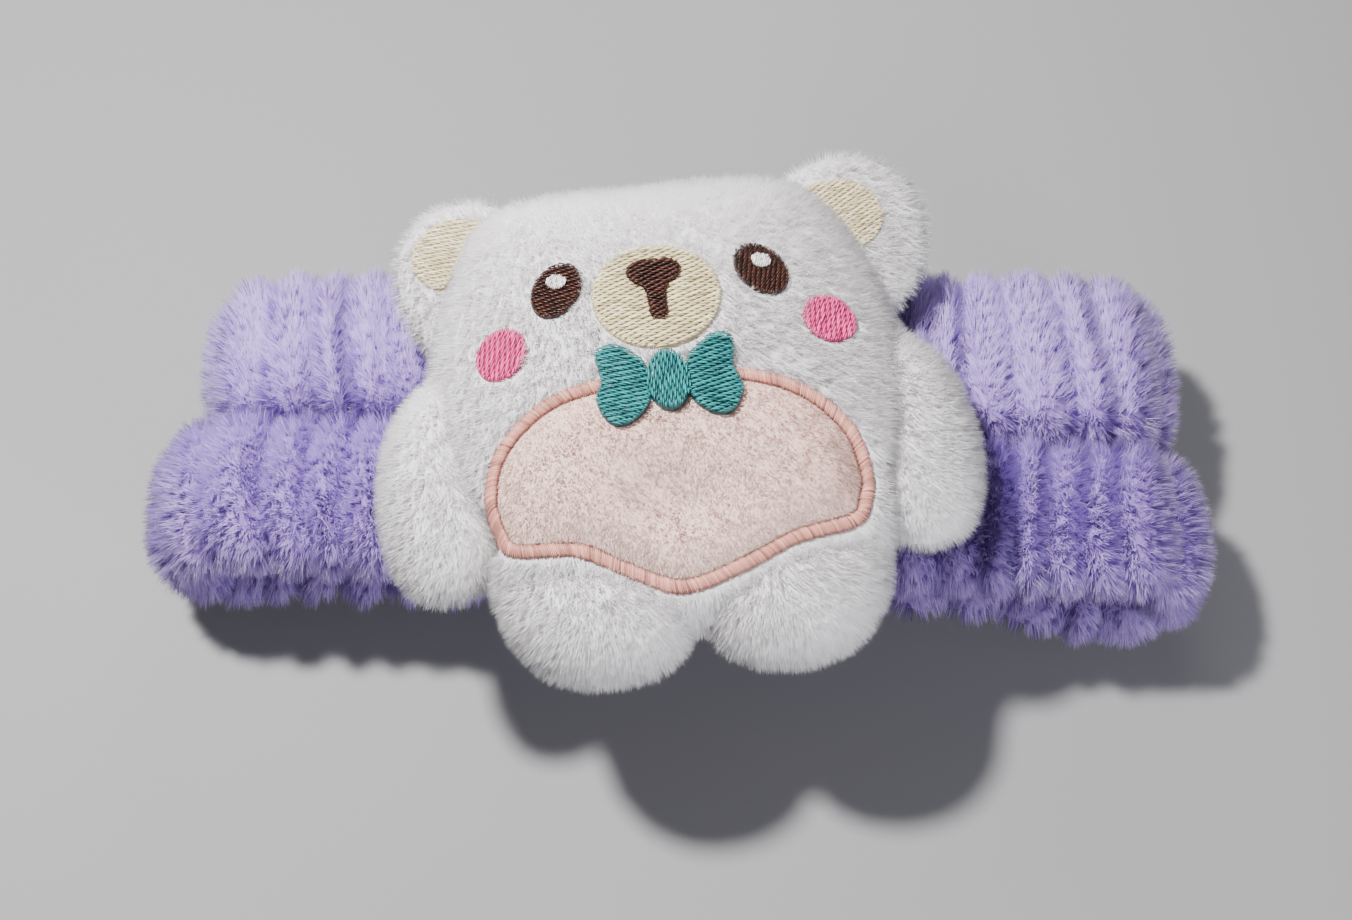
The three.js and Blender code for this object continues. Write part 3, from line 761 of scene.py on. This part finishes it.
# root and middle darker than the tip: painted shade among the fibres
fleeceLook = {
    "root": (0.86, 0.84, 0.85), "middle": (0.95, 0.94, 0.94), "tip": (0.97, 0.965, 0.97), "middleAt": 0.4,
    "darkTone": (0.90, 0.88, 0.90), "lightTone": (1.0, 1.0, 1.0), "roughness": 0.8, "gloss": 0.2,
    "sheen": 0.2, "through": 0.4,
}
bearPile = {
    "tuftsPerArea": 2.6, "fibresPerTuft": 5, "tuftRadius": 0.42, "length": 2.7, "spread": 0.12,
    "wander": 0.12, "stray": 0.08, "gather": 0.15, "width": 0.18, "toneSpread": 0.16, "softness": 0.9,
    "floor": 0.15,
}
fleece = pileMaterial("fleece", fleeceLook)


def mirroredRing(points):
    # the right half's points, and the same points mirrored for the left half
    points = np.asarray(points, float)
    return np.vstack([points, points[-2:0:-1] * (-1, 1)])


def onSide(points, side):
    # the right side's points, or their mirror image in the same turning sense
    points = np.asarray(points, float) * (side, 1)
    return points if side > 0 else points[::-1]


def lensMesh(outline, centre, seamZ, top, bottom, rings=10):
    # a lens: rings shrink towards the centre, and each ring's height is a quarter circle of its share
    share = np.sin(np.linspace(0.04, 1, rings) * math.pi / 2)[:, None, None]
    plan = centre + (outline - centre) * share
    lift = np.sqrt(np.clip(1 - share[..., 0] ** 2, 0, 1)) * np.ones(len(outline))
    upper = np.concatenate([plan, (seamZ + top * lift)[..., None]], -1)
    lower = np.concatenate([plan, (seamZ - bottom * lift)[..., None]], -1)[:-1][::-1]
    grid = np.concatenate([upper, lower])
    points = grid.reshape(-1, 3)
    n = len(outline)
    quads = gridFaces(len(grid), n, closeColumns=True)
    fan = np.array([[0, i, i + 1] for i in range(1, n - 1)])
    return points, np.vstack([splitQuads(quads), fan[:, [0, 2, 1]], fan + (len(grid) - 1) * n])


clothWays = {"quality": 6, "mass": 0.02, "tension_stiffness": 12, "compression_stiffness": 12,
             "shear_stiffness": 4, "bending_stiffness": 0.15, "use_pressure": True}


def inflate(name, points, faces, voxel, pressure, frames, cap=5.0):
    # cloth under pressure with no gravity: the seamed bag swells until its cloth is taut
    bag = makePiece(name, points, faces)
    remesh = bag.modifiers.new("remesh", "REMESH")
    remesh.mode = "VOXEL"
    remesh.voxel_size = voxel * mm
    remesh.use_smooth_shade = True
    bpy.context.view_layer.update()
    graph = bpy.context.evaluated_depsgraph_get()
    even = bpy.data.meshes.new_from_object(bag.evaluated_get(graph))
    bag.modifiers.clear()
    bag.data = even
    start = np.empty(len(even.vertices) * 3, np.float32)
    even.vertices.foreach_get("co", start)
    cloth = bag.modifiers.new("cloth", "CLOTH")
    for way, value in clothWays.items():
        setattr(cloth.settings, way, value)
    cloth.settings.uniform_pressure_force = pressure
    cloth.settings.effector_weights.gravity = 0
    cloth.collision_settings.use_collision = False
    cloth.point_cache.frame_start = 1
    cloth.point_cache.frame_end = frames
    scene = bpy.context.scene
    for step in range(1, frames + 1):
        scene.frame_set(step)
    graph = bpy.context.evaluated_depsgraph_get()
    swollen = bpy.data.meshes.new_from_object(bag.evaluated_get(graph))
    end = np.empty(len(swollen.vertices) * 3, np.float32)
    swollen.vertices.foreach_get("co", end)
    start, end = start.reshape(-1, 3) / mm, end.reshape(-1, 3) / mm
    move = end - start
    size = np.linalg.norm(move, axis=1, keepdims=True)
    print(f"{name} swelled by up to {size.max():.1f} mm")
    end = start + move * np.minimum(1, cap / np.maximum(size, 1e-6))
    bag.modifiers.clear()
    quads = [list(face.vertices) for face in even.polygons]
    bpy.data.objects.remove(bag)
    scene.frame_set(1)
    return end.astype(float), quads


def fitHeights(points, seamZ, top, bottom):
    # each side of the seam is scaled so that its highest point meets the height the frame gives
    over, under = points[:, 2] > seamZ, points[:, 2] <= seamZ
    out = points.copy()
    out[over, 2] = seamZ + (points[over, 2] - seamZ) * top / (points[over, 2].max() - seamZ)
    out[under, 2] = seamZ + (points[under, 2] - seamZ) * bottom / (seamZ - points[under, 2].min())
    return out


def fitPlan(points, outline):
    # the swollen bag's plan is scaled back to its outline's own box
    out = points.copy()
    for axis in (0, 1):
        low, high = outline[:, axis].min(), outline[:, axis].max()
        a, b = points[:, axis].min(), points[:, axis].max()
        out[:, axis] = low + (points[:, axis] - a) * (high - low) / (b - a)
    return out


def panelHeights(front, back):
    # the seam's height, and how far the cloth goes over it and under it
    low, high = nodeBox(front)[0][2], nodeBox(front)[1][2]
    return low, high - low - bear["skinInset"], low - nodeBox(back)[0][2] - bear["skinInset"]


def quadMesh(name, points, quads, material):
    # a piece of quads, as the remesh left them
    piece = bpy.data.objects.new(name, bpy.data.meshes.new(name))
    bpy.context.collection.objects.link(piece)
    piece.data.from_pydata((points * mm).tolist(), [], quads)
    piece.data.polygons.foreach_set("use_smooth", np.ones(len(quads), bool))
    piece.data.materials.append(material)
    piece.data.update()
    return piece


def finishSkin(piece, levels=1):
    # one subdivision, applied, so that the pile and the height map read the final cloth
    rounder = piece.modifiers.new("rounder", "SUBSURF")
    rounder.levels = rounder.render_levels = levels
    bpy.context.view_layer.update()
    graph = bpy.context.evaluated_depsgraph_get()
    final = bpy.data.meshes.new_from_object(piece.evaluated_get(graph))
    final.materials.clear()
    final.materials.append(piece.data.materials[0])
    piece.modifiers.clear()
    piece.data = final
    # the cloth takes the fibres' colour low down, darker than their tips: painted shade under the pile
    addShading(final, along=0.35, tone=0.5)
    return piece


faceShift = -1.0  # the tummy and the bow sit this far to the left of the body's middle
tummyRight = [(0, -3.1), (13.6, -4.2), (24.4, -8.0), (32.3, -15.6), (34.6, -23.6), (33.5, -28.4),
              (31.4, -31.2), (20.4, -33.4), (9.8, -37.4), (-1.4, -40.0)]
tummyLeft = [(-10.2, -36.4), (-19.4, -31.6), (-31.2, -29.6), (-33.6, -26.6), (-34.8, -19.4), (-31.8, -12.0),
             (-23.4, -5.6), (-13.2, -3.4)]
tummyOutline = closedCurve(tummyRight + tummyLeft, 240) + (faceShift, 0)
if signedArea(tummyOutline) < 0:
    tummyOutline = tummyOutline[::-1]


def nearOutline(plan, outline):
    # the shortest distance to an outline, below nought inside it
    gap = np.sqrt(((plan[:, None, :] - outline[None, ::2, :]) ** 2).sum(2).min(1))
    return np.where(isInside(plan, outline), -gap, gap)


def shapeBody(points):
    # the border's thread draws the cloth in along the tummy's outline, and the tummy has a dimple
    plan = toBear(points)[:, :2]
    over = smoothStep(points[:, 2], bodySeamZ + 1, bodySeamZ + 6)
    groove = np.exp(-(nearOutline(plan, tummyOutline) / 2.2) ** 2) * 1.5
    dimple = 3.4 * np.exp(-(((plan[:, 0] + 2) / 11) ** 2 + ((plan[:, 1] + 26) / 7) ** 2))
    neck = 1.0 * np.exp(-((plan[:, 1] - 6) / 6) ** 2) * smoothStep(np.abs(plan[:, 0]), 20, 40)
    out = points.copy()
    out[:, 2] -= (groove + dimple + neck) * over
    return out


def buildPad(name, outline, centre, front, back, shape=None):
    # a lens over the outline, blown up and fitted to the heights of the frame's two panels
    seamZ, top, bottom = panelHeights(front, back)
    world = toWorld(outline)
    middle = toWorld(np.array([centre], float))[0]
    points, faces = lensMesh(world, middle, seamZ, top * 0.8, bottom * 0.8)
    voxel, frames = bear["voxel"], bear["frames"]
    points, quads = inflate(f"{name}_bag", points, faces, voxel, bear["pressure"], frames)
    points = fitHeights(fitPlan(points, world), seamZ, top, bottom)
    if shape is not None:
        points = shape(points)
    skin = quadMesh(f"{name}_cloth", points, quads, fleece)
    return finishSkin(skin)


bodyOutline = closedCurve(mirroredRing(bear["body"]), 96)[::-1]
bodySkin = buildPad("body", bodyOutline, (0, 2), "body_front_panel", "body_back_panel", shapeBody)
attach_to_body(bodySkin, "front_centre")
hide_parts("body_front_panel", "body_back_panel", "body_stuffing")
print("body ready")


def heightMap(skin, step=1.0, reach=0.9, samples=90000):
    # heights of the cloth's upper side on a plan grid: points strewn over its triangles, each weighed by how
    # near it is and by how much it faces up
    random = np.random.default_rng(17)
    points, normals, triangles = readMesh(skin)
    triangles = triangles[normals[triangles, 2].min(1) > 0.05]
    a, b, c = (points[triangles[:, k]] for k in range(3))
    facing = np.abs(np.cross(b - a, c - a)[:, 2])
    which = random.choice(len(triangles), samples, p=facing / facing.sum())
    first, second = random.random(samples) ** 0.5, random.random(samples)
    shares = np.stack([1 - first, first * (1 - second), first * second], -1)
    points = (points[triangles[which]] * shares[:, :, None]).sum(1)
    plan = toBear(points)[:, :2]
    u = np.arange(-64, 64 + step, step)
    w = np.arange(-64, 60 + step, step)
    wu = np.exp(-((u[:, None] - plan[:, 0]) / reach) ** 2)
    ww = np.exp(-((w[:, None] - plan[:, 1]) / reach) ** 2)
    weights = wu @ ww.T
    sums = (wu * points[:, 2]) @ ww.T
    return u, w, sums / np.maximum(weights, 1e-9)


bodyMap = heightMap(bodySkin)


def heightOn(mapData, plan):
    # the map's height at any plan place, from the four grid heights round it
    u, w, heights = mapData
    x = np.clip((plan[..., 0] - u[0]) / (u[1] - u[0]), 0, len(u) - 1.001)
    y = np.clip((plan[..., 1] - w[0]) / (w[1] - w[0]), 0, len(w) - 1.001)
    i, j = x.astype(int), y.astype(int)
    fx, fy = x - i, y - j
    low = heights[i, j] * (1 - fx) + heights[i + 1, j] * fx
    high = heights[i, j + 1] * (1 - fx) + heights[i + 1, j + 1] * fx
    return low * (1 - fy) + high * fy


def bendLine(seam, middle, side, reach):
    # where a limb's bend starts, at the middle of its seam, and ends, that far square to it
    seam = np.array(seam, float) * (side, 1)
    centre = seam.mean(0)
    along = unit(seam[1] - seam[0])
    out = unit(np.array([middle[0] * side, middle[1]], float) - centre)
    out = unit(out - along * (out @ along))
    return toWorld(np.array([centre, centre + out * reach]))


def follow(piece, name):
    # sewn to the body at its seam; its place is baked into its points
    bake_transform(piece)


def declare(nodes):
    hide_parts(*nodes)


limbSkins, bends = {}, {}
for side, label in ((-1, "left"), (1, "right")):
    for limb in ("arm", "leg"):
        outline = closedCurve(onSide(bear[limb], side), 56)
        name = f"{label}_{limb}"
        middle = bear[f"{limb}Middle"]
        panels = [f"{name}_front_panel", f"{name}_back_panel"]
        skin = buildPad(name, outline, (middle[0] * side, middle[1]), *panels)
        limbSkins[name], bends[name] = skin, bendLine(bear[f"{limb}Seam"], middle, side, 8)
        follow(skin, name)
        declare(panels + [f"{name}_stuffing"])
for side, label in ((-1, "left"), (1, "right")):
    outline = toWorld(closedCurve(onSide(bear[f"{label}Ear"], side), 48))
    name = f"{label}_ear"
    panels = [f"{name}_front_panel", f"{name}_back_panel"]
    middle = toWorld(np.array([[bear["earMiddle"][0] * side, bear["earMiddle"][1]]], float))[0]
    points, faces = lensMesh(outline, middle, *panelHeights(*panels), 8)
    skin = makePiece(f"{name}_cloth", points, faces, fleece)
    finishSkin(skin, 0)
    limbSkins[name], bends[name] = skin, bendLine(bear["earSeam"], bear["earMiddle"], side, 7)
    follow(skin, name)
    declare(panels)
print("limbs and ears ready")

# the outlines of the embroidered places, which the pile leaves free
def ellipse(centre, halfU, halfW, turned=0.0, count=64):
    # a ring of two radii, turned about its centre
    angle = np.linspace(0, 2 * math.pi, count, endpoint=False)
    p, q = halfU * np.cos(angle), halfW * np.sin(angle)
    c, s = math.cos(turned), math.sin(turned)
    return np.stack([centre[0] + p * c - q * s, centre[1] + p * s + q * c], -1)


def localCentre(node):
    return toBear(nodeCentre(node)[None])[0][:2]


faceOutlines = {
    "muzzle": ellipse(localCentre("muzzle"), 12.8, 12.1),
    "left_eye": ellipse(localCentre("left_eye"), 4.9, 6.5, -0.5),
    "right_eye": ellipse(localCentre("right_eye"), 5.1, 6.5, 0.5),
    "left_cheek": ellipse(localCentre("left_cheek"), 5.1, 5.7, -0.3),
    "right_cheek": ellipse(localCentre("right_cheek"), 5.5, 5.4, 0.2),
}
tummyWithBorder = grown(tummyOutline, 3.1)
earPatch = [(33.6, 46.8), (38.4, 49.0), (44.4, 48), (48.8, 43.6), (49.6, 38.4), (47.4, 34.2), (43.6, 32.4),
            (40.2, 36.6), (37.4, 41.6)]


def bodyKeep(root, normal, random):
    # no pile under the tummy and the face's embroidery
    plan = toBear(root)[:, :2]
    keep = ~isInside(plan, tummyWithBorder)
    for outline in faceOutlines.values():
        keep &= ~isInside(plan, outline)
    return keep | (normal[:, 2] < 0)


def bearLean(root, normal):
    # combed down the body and outwards from its middle
    plan = toBear(root)[:, :2]
    lean = np.zeros_like(root)
    way = np.stack([0.25 * plan[:, 0] / 45, -0.55 + 0 * plan[:, 1]], -1)
    lean[:, :2] = toWorld(way) - toWorld(np.zeros((1, 2)))
    return lean


def addBearPile(name, skin, seed, attach, keep=None):
    # the upper side's pile, and a thinner one under the bear
    for part, front in (("front", True), ("back", False)):
        def wanted(root, normal, random):
            chosen = (normal[:, 2] > -0.15) == front
            return chosen & keep(root, normal, random) if keep else chosen
        pile = dict(bearPile, tuftsPerArea=bearPile["tuftsPerArea"] * (1 if front else 0.5))
        piece = growPile(f"{name}_{part}_pile", skin, pile, seed + front, fleece, keep=wanted, leanAt=bearLean)
        attach(piece, name)


addBearPile("body", bodySkin, 60, lambda piece, name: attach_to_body(piece, "front_centre"), bodyKeep)
for number, (name, skin) in enumerate(limbSkins.items()):
    addBearPile(name, skin, 70 + 2 * number, follow)
print("bear's pile ready")


# embroidery: every stitch is its own thread, over a padded base
threadLook = {
    "thread": {"radius": 0.205, "rise": 0.34, "stations": 5, "around": 6},
    "pitch": 0.40,  # from one row of stitches to the next
    "stitch": 3.2,
    # the ends' darkening below is painted shade where each thread goes into the cloth
    "endShade": (0.55, 0.52, 0.52),
    "roughness": 0.36,
    "gloss": 0.3,
}
threadColours = {
    "cream_thread": ((0.34, 0.27, 0.14), (0.77, 0.68, 0.44)),
    "brown_thread": ((0.007, 0.0025, 0.002), (0.050, 0.014, 0.008)),
    "white_thread": ((0.45, 0.41, 0.42), (0.80, 0.77, 0.77)),
    "pink_thread": ((0.28, 0.012, 0.08), (0.74, 0.075, 0.27)),
    "teal_thread": ((0.003, 0.045, 0.05), (0.022, 0.21, 0.215)),
    "border_thread": ((0.18, 0.06, 0.045), (0.66, 0.31, 0.25)),
}


# a thread's colour: dark to light by the stitch's tone, and darker at its two ends: painted shade where it
# goes into the cloth
threadShade, given, result = startGroup("thread shade", ["Along", "Tone"], ["Dark", "Light", "End"])
white = (1, 1, 1, 1)
fromStart = mixColours(threadShade, stretchOf(threadShade, given["Along"], 0.0, 0.2), given["End"], white)
toEnd = mixColours(threadShade, stretchOf(threadShade, given["Along"], 0.8, 1.0), fromStart, given["End"])
stitchTone = mixColours(threadShade, given["Tone"], given["Dark"], given["Light"])
threadShade.links.new(mixColours(threadShade, 1.0, stitchTone, toEnd, "MULTIPLY"), result["Colour"])


def threadMaterial(name, dark, light):
    # satin thread
    material, nodes, links = newMaterial(name)
    colour = placeGroup(material.node_tree, threadShade,
                        {"Dark": dark, "Light": light, "End": threadLook["endShade"]})
    shader = nodes["Principled BSDF"]
    links.new(colour, shader.inputs["Base Color"])
    shader.inputs["Roughness"].default_value = threadLook["roughness"]
    shader.inputs["Specular IOR Level"].default_value = threadLook["gloss"]
    return material


threads = {name: threadMaterial(name, *pair) for name, pair in threadColours.items()}


def fillStitches(outline, slant, pitch, stitch, random, stagger=0.37):
    # parallel rows across an outline at a slant: each row's stretches inside it are cut into stitches,
    # and each row's cuts are shifted from the row before
    c, s = math.cos(slant), math.sin(slant)
    turned = np.stack([outline[:, 0] * c + outline[:, 1] * s, -outline[:, 0] * s + outline[:, 1] * c], -1)
    rows = np.arange(turned[:, 1].min() + pitch / 2, turned[:, 1].max(), pitch)
    x1, y1 = turned[:, 0], turned[:, 1]
    x2, y2 = np.roll(x1, -1), np.roll(y1, -1)
    crosses = (y1 > rows[:, None]) != (y2 > rows[:, None])
    at = np.where(crosses, x1 + (x2 - x1) * (rows[:, None] - y1) / (y2 - y1 + 1e-12), np.inf)
    at = np.sort(at, axis=1)[:, :6]
    if at.shape[1] % 2:
        at = at[:, :-1]
    starts, ends = at[:, 0::2], at[:, 1::2]
    reach = turned[:, 0].max() - turned[:, 0].min()
    k = np.arange(-1, int(reach / stitch) + 2)
    shift = (np.arange(len(rows)) * stagger) % 1 + random.uniform(-0.06, 0.06, len(rows))
    cutA = turned[:, 0].min() + (k[None, None, :] + shift[:, None, None]) * stitch
    a = np.maximum(starts[:, :, None], cutA)
    b = np.minimum(ends[:, :, None], cutA + stitch)
    good = np.isfinite(b) & (b - a > 0.35)
    height = np.broadcast_to(rows[:, None, None], a.shape)[good]
    a, b = a[good], b[good]
    back = lambda x, y: np.stack([x * c - y * s, x * s + y * c], -1)
    jitter = random.normal(0, 0.05, (2, len(a)))
    return back(a, height + jitter[0]), back(b, height + jitter[1])


def threadTubes(starts, ends, surface, base, size, random, tones=None):
    # a thread runs from one needle hole to the other in a low arc, a power of a sine, and its tube narrows
    # into both holes
    t = np.linspace(0, 1, size["stations"])
    arc = np.sin(math.pi * t) ** 0.6
    plan = starts[:, None] + (ends - starts)[:, None] * t[:, None]
    z = heightOn(surface, plan) + base + size["rise"] * arc - 0.15
    centre = np.concatenate([toWorld(plan), z[..., None]], -1)
    along = unit(np.gradient(centre, axis=1))
    side = unit(np.cross(along, [0, 0, 1.0]))
    up = np.cross(side, along)
    angle = np.linspace(0, 2 * math.pi, size["around"], endpoint=False)
    radius = size["radius"] * (0.45 + 0.55 * arc)[:, None, None] * np.ones((len(starts), 1, 1, 1))
    radius = radius * random.uniform(0.9, 1.1, (len(starts), 1, 1, 1))
    points = centre[:, :, None] + (side[:, :, None] * np.cos(angle)[:, None]
                                   + up[:, :, None] * np.sin(angle)[:, None]) * radius
    one = tubeFaces(size["stations"], size["around"], turned=True)
    each = size["stations"] * size["around"]
    faces = (np.arange(len(starts))[:, None, None] * each + one).reshape(-1, 3)
    if tones is None:
        tones = np.clip(random.normal(0.62, 0.26, len(starts)), 0, 1)
    tone = np.repeat(tones, each)
    alongMap = np.tile(np.repeat(t, size["around"]), len(starts))
    return points.reshape(-1, 3), faces, tone, alongMap


def padding(outline, surface, base, thickness, rings=6):
    # a closed crowned pad: rings shrink towards the middle, and the edge turns down into the cloth
    middle = outline.mean(0)
    share = np.concatenate([[1.0, 1.0, 0.97, 0.92], np.linspace(0.85, 0.01, rings)])
    lift = np.concatenate([[-0.8, 0.0, 0.55, 0.85], np.ones(rings)])
    plan = middle + (outline - middle) * share[:, None, None]
    z = heightOn(surface, plan) + base + lift[:, None] * thickness
    under = middle + (outline - middle) * 0.02
    plan = np.concatenate([plan, under[None]])
    z = np.concatenate([z, (heightOn(surface, under) + base - 0.8 * thickness)[None]])
    points = np.concatenate([toWorld(plan), z[..., None]], -1)
    quads = gridFaces(len(points), len(outline), closeRows=True, closeColumns=True)
    return points.reshape(-1, 3), splitQuads(quads)


def embroider(name, slotName, parts, body="front_centre"):
    # pads and threads joined into one piece; a pad has no tones of its own and takes the thread's darkest,
    # painted shade seen in the gaps between the threads
    points, faces, tone, along, count = [], [], [], [], 0
    for partPoints, partFaces, *shades in parts:
        points.append(partPoints)
        faces.append(partFaces + count)
        # the pad's dark tone is painted shade between the threads
        tone.append(shades[0] if shades else np.full(len(partPoints), 0.05))
        along.append(shades[1] if shades else np.full(len(partPoints), 0.5))
        count += len(partPoints)
    points, faces = np.vstack(points), np.vstack(faces)
    piece = makePiece(name, points, faces, threads[slotName])
    setStripMap(piece, faces, np.concatenate(tone), np.concatenate(along), np.zeros(len(points)))
    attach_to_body(piece, body)
    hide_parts(name)


def fillPatch(name, slotName, outline, surface, slant, base, seed, body="front_centre", thick=0.7,
              pitch=threadLook["pitch"], stitch=threadLook["stitch"], **threadChanges):
    # a padded place filled with rows of stitches; base is how far it lies over the cloth
    random = np.random.default_rng(seed)
    starts, ends = fillStitches(outline, slant, pitch, stitch, random)
    size = dict(threadLook["thread"], **threadChanges)
    parts = [padding(grown(outline, -0.15), surface, base - 0.1, thick),
             threadTubes(starts, ends, surface, base + thick, size, random)]
    embroider(name, slotName, parts, body)


muzzleAt = localCentre("muzzle")
fillPatch("muzzle", "cream_thread", faceOutlines["muzzle"], bodyMap, 0.06, 0.4, 101)
noseRing = [(0, 8.1), (3.4, 8.0), (5.4, 6.2), (4.9, 3.4), (2.4, 1.2), (1.9, -2.6), (1.7, -5.4), (0, -6.2)]
noseOutline = closedCurve(mirroredRing(noseRing), 80)[::-1] + muzzleAt
fillPatch("nose", "brown_thread", noseOutline, bodyMap, 0.0, 1.25, 102, thick=0.55, stitch=2.4)
for side, label in ((-1, "left"), (1, "right")):
    fillPatch(f"{label}_eye", "brown_thread", faceOutlines[f"{label}_eye"], bodyMap, 0.6 * side + 0.3, 0.4,
              103 + side, stitch=2.2)
    shine = ellipse(localCentre(f"{label}_eye_highlight"), 2.0, 1.8, -0.2, 24)
    fillPatch(f"{label}_eye_highlight", "white_thread", shine, bodyMap, 1.2, 1.35, 113 + side, thick=0.4,
              stitch=4)
    fillPatch(f"{label}_cheek", "pink_thread", faceOutlines[f"{label}_cheek"], bodyMap, 1.15, 0.4, 123 + side,
              stitch=3.4)

# the bow: two wings with slanted rows and a knot of upright threads over them
knotAt = localCentre("bow_knot")
wingRing = [(3.8, 3.4), (6.6, 6.8), (10, 8.9), (13.4, 7.6), (12.9, 2.2), (14.2, -2.6), (12, -7.4), (8, -7.8),
            (4.0, -4)]
for side, label in ((-1, "left"), (1, "right")):
    wing = closedCurve(onSide(wingRing, side), 64) + knotAt
    fillPatch(f"bow_{label}_wing", "teal_thread", wing, bodyMap, -0.2 + 0.1 * side, 1.2, 133 + side, thick=1.3,
              stitch=2.8, rise=0.4)
fillPatch("bow_knot", "teal_thread", ellipse(knotAt, 4.2, 6.3), bodyMap, 1.5, 1.3, 140, thick=1.7,
          stitch=3.0, rise=0.45)

# the border: satin threads lie side by side across a padded cord that follows the tummy's outline
border = {
    "width": 2.7, "outwards": 1.55, "pitch": 0.36, "slant": 0.45, "cordShare": 0.44, "cordPoints": 10,
    "thread": {"radius": 0.22, "rise": 0.9, "stations": 7, "around": 6},
}


def satinRun(first, last, seed):
    # one run of the border, from one corner of the tummy's outline to another
    random = np.random.default_rng(seed)
    path = grown(tummyOutline, border["outwards"])
    n = len(path)
    count = (last - first) % n
    path = path[(first + np.arange(count + 1)) % n]
    length = np.concatenate([[0], np.cumsum(np.linalg.norm(np.diff(path, axis=0), axis=1))])
    at = np.arange(0.2, length[-1] - 0.1, border["pitch"])
    line = np.stack([np.interp(at, length, path[:, k]) for k in (0, 1)], -1)
    along = unit(np.gradient(line, axis=0))
    out = np.stack([along[:, 1], -along[:, 0]], -1)
    across = out * border["width"] / 2 * random.uniform(0.86, 1.1, (len(line), 1)) + along * border["slant"]
    tones = np.clip(random.normal(0.62, 0.2, len(line)), 0, 1)
    tubes = threadTubes(line - across, line + across, bodyMap, 0.5, border["thread"], random, tones)
    # the cord under the threads: a half round carried along the path
    angle = np.linspace(0, 2 * math.pi, border["cordPoints"], endpoint=False)
    ring = line[:, None] + out[:, None] * (np.cos(angle) * border["width"] * border["cordShare"])[:, None]
    z = heightOn(bodyMap, ring) + 0.35 + np.sin(angle) * np.where(np.sin(angle) > 0, 0.75, 0.3)
    cord = np.concatenate([toWorld(ring), z[..., None]], -1).reshape(-1, 3)
    return [(cord, tubeFaces(len(line), border["cordPoints"], turned=True)), tubes]


corner = [int(np.argmin(np.linalg.norm(tummyOutline - (faceShift, 0) - place, axis=1)))
          for place in (tummyLeft[2], tummyRight[6])]
embroider("tummy_border_upper", "border_thread", satinRun(corner[1], corner[0], 150))
embroider("tummy_border_lower", "border_thread", satinRun(corner[0], corner[1], 151))

# the tummy's velour: a thin closed patch with a short nap
velourLook = {
    # root and middle darker than the tip: painted shade among the nap's fibres
    "root": (0.74, 0.51, 0.45), "middle": (0.89, 0.67, 0.61), "tip": (0.96, 0.76, 0.70), "middleAt": 0.5,
    "darkTone": (0.86, 0.84, 0.83), "lightTone": (1.0, 1.0, 1.0), "roughness": 0.8, "gloss": 0.2,
    "sheen": 0.3, "through": 0.25,
}
velourNap = {
    "tuftsPerArea": 6.0, "fibresPerTuft": 4, "tuftRadius": 0.25, "length": 0.8, "spread": 0.15,
    "wander": 0.2, "stray": 0.1, "gather": 0.2, "width": 0.2, "toneSpread": 0.09, "softness": 0.9,
}
velour = pileMaterial("velour", velourLook)
patchPoints, patchFaces = padding(grown(tummyOutline, 0.4), bodyMap, 0.1, 0.7, rings=24)
tummy = makePiece("tummy_patch", patchPoints, patchFaces, velour)
# the patch takes the nap's colour below its middle: painted shade under the nap
addShading(tummy.data, along=0.4, tone=0.5)
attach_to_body(tummy, "front_centre")
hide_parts("tummy_patch")


def napLean(root, normal):
    # the nap lies down the tummy, and sways a little from side to side
    lean = np.zeros_like(root)
    lean[:, 1] = -0.5
    lean[:, 0] = 0.2 * np.sin(root[:, 0] * 0.5) * np.sin(root[:, 1] * 0.7)
    return lean


def napMarksAndDimpleShade(root, normal):
    # faint rows across the cloth and soft darker clouds, and painted shade in the dimple low on the tummy
    plan = toBear(root)
    rows = 0.12 * np.sin(plan[:, 1] * 5.2 + 0.4 * np.sin(plan[:, 0] * 0.3))
    clouds = 0.16 * np.sin(plan[:, 0] * 0.21 + 1) * np.sin(plan[:, 1] * 0.27 + plan[:, 0] * 0.05)
    # the last term is painted shade in the dimple
    return rows + clouds - 0.25 * np.exp(-((plan[:, 0] + 1) / 9) ** 2 - ((plan[:, 1] + 26) / 8) ** 2)


def napKeep(root, normal, random):
    # only on the patch's upper side, and inside the border
    return (normal[:, 2] > 0.2) & isInside(toBear(root)[:, :2], tummyOutline)


nap = growPile("tummy_nap", tummy, velourNap, 160, velour, keep=napKeep, leanAt=napLean, toneAt=napMarksAndDimpleShade)
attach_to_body(nap, "front_centre")

# the ears' patches
for side, label in ((-1, "left"), (1, "right")):
    surface = heightMap(limbSkins[f"{label}_ear"])
    outline = closedCurve(onSide(earPatch, side), 56)
    fillPatch(f"{label}_ear_patch", "cream_thread", outline, surface, 0.25 * side, 0.4, 170 + side,
              body=f"{label}_ear")
print("embroidery ready")


# floor

floorLook = {"colour": (0.205, 0.205, 0.214, 1), "roughness": 0.7, "reach": 1500}
floorMaterial, floorNodes = newMaterial("floor")[:2]
floorNodes["Principled BSDF"].inputs["Base Color"].default_value = floorLook["colour"]
floorNodes["Principled BSDF"].inputs["Roughness"].default_value = floorLook["roughness"]
floorCorners = np.array([[-1, -1, 0], [1, -1, 0], [1, 1, 0], [-1, 1, 0]]) * floorLook["reach"]
floor = makePiece("floor", floorCorners, [[0, 1, 2, 3]], floorMaterial)
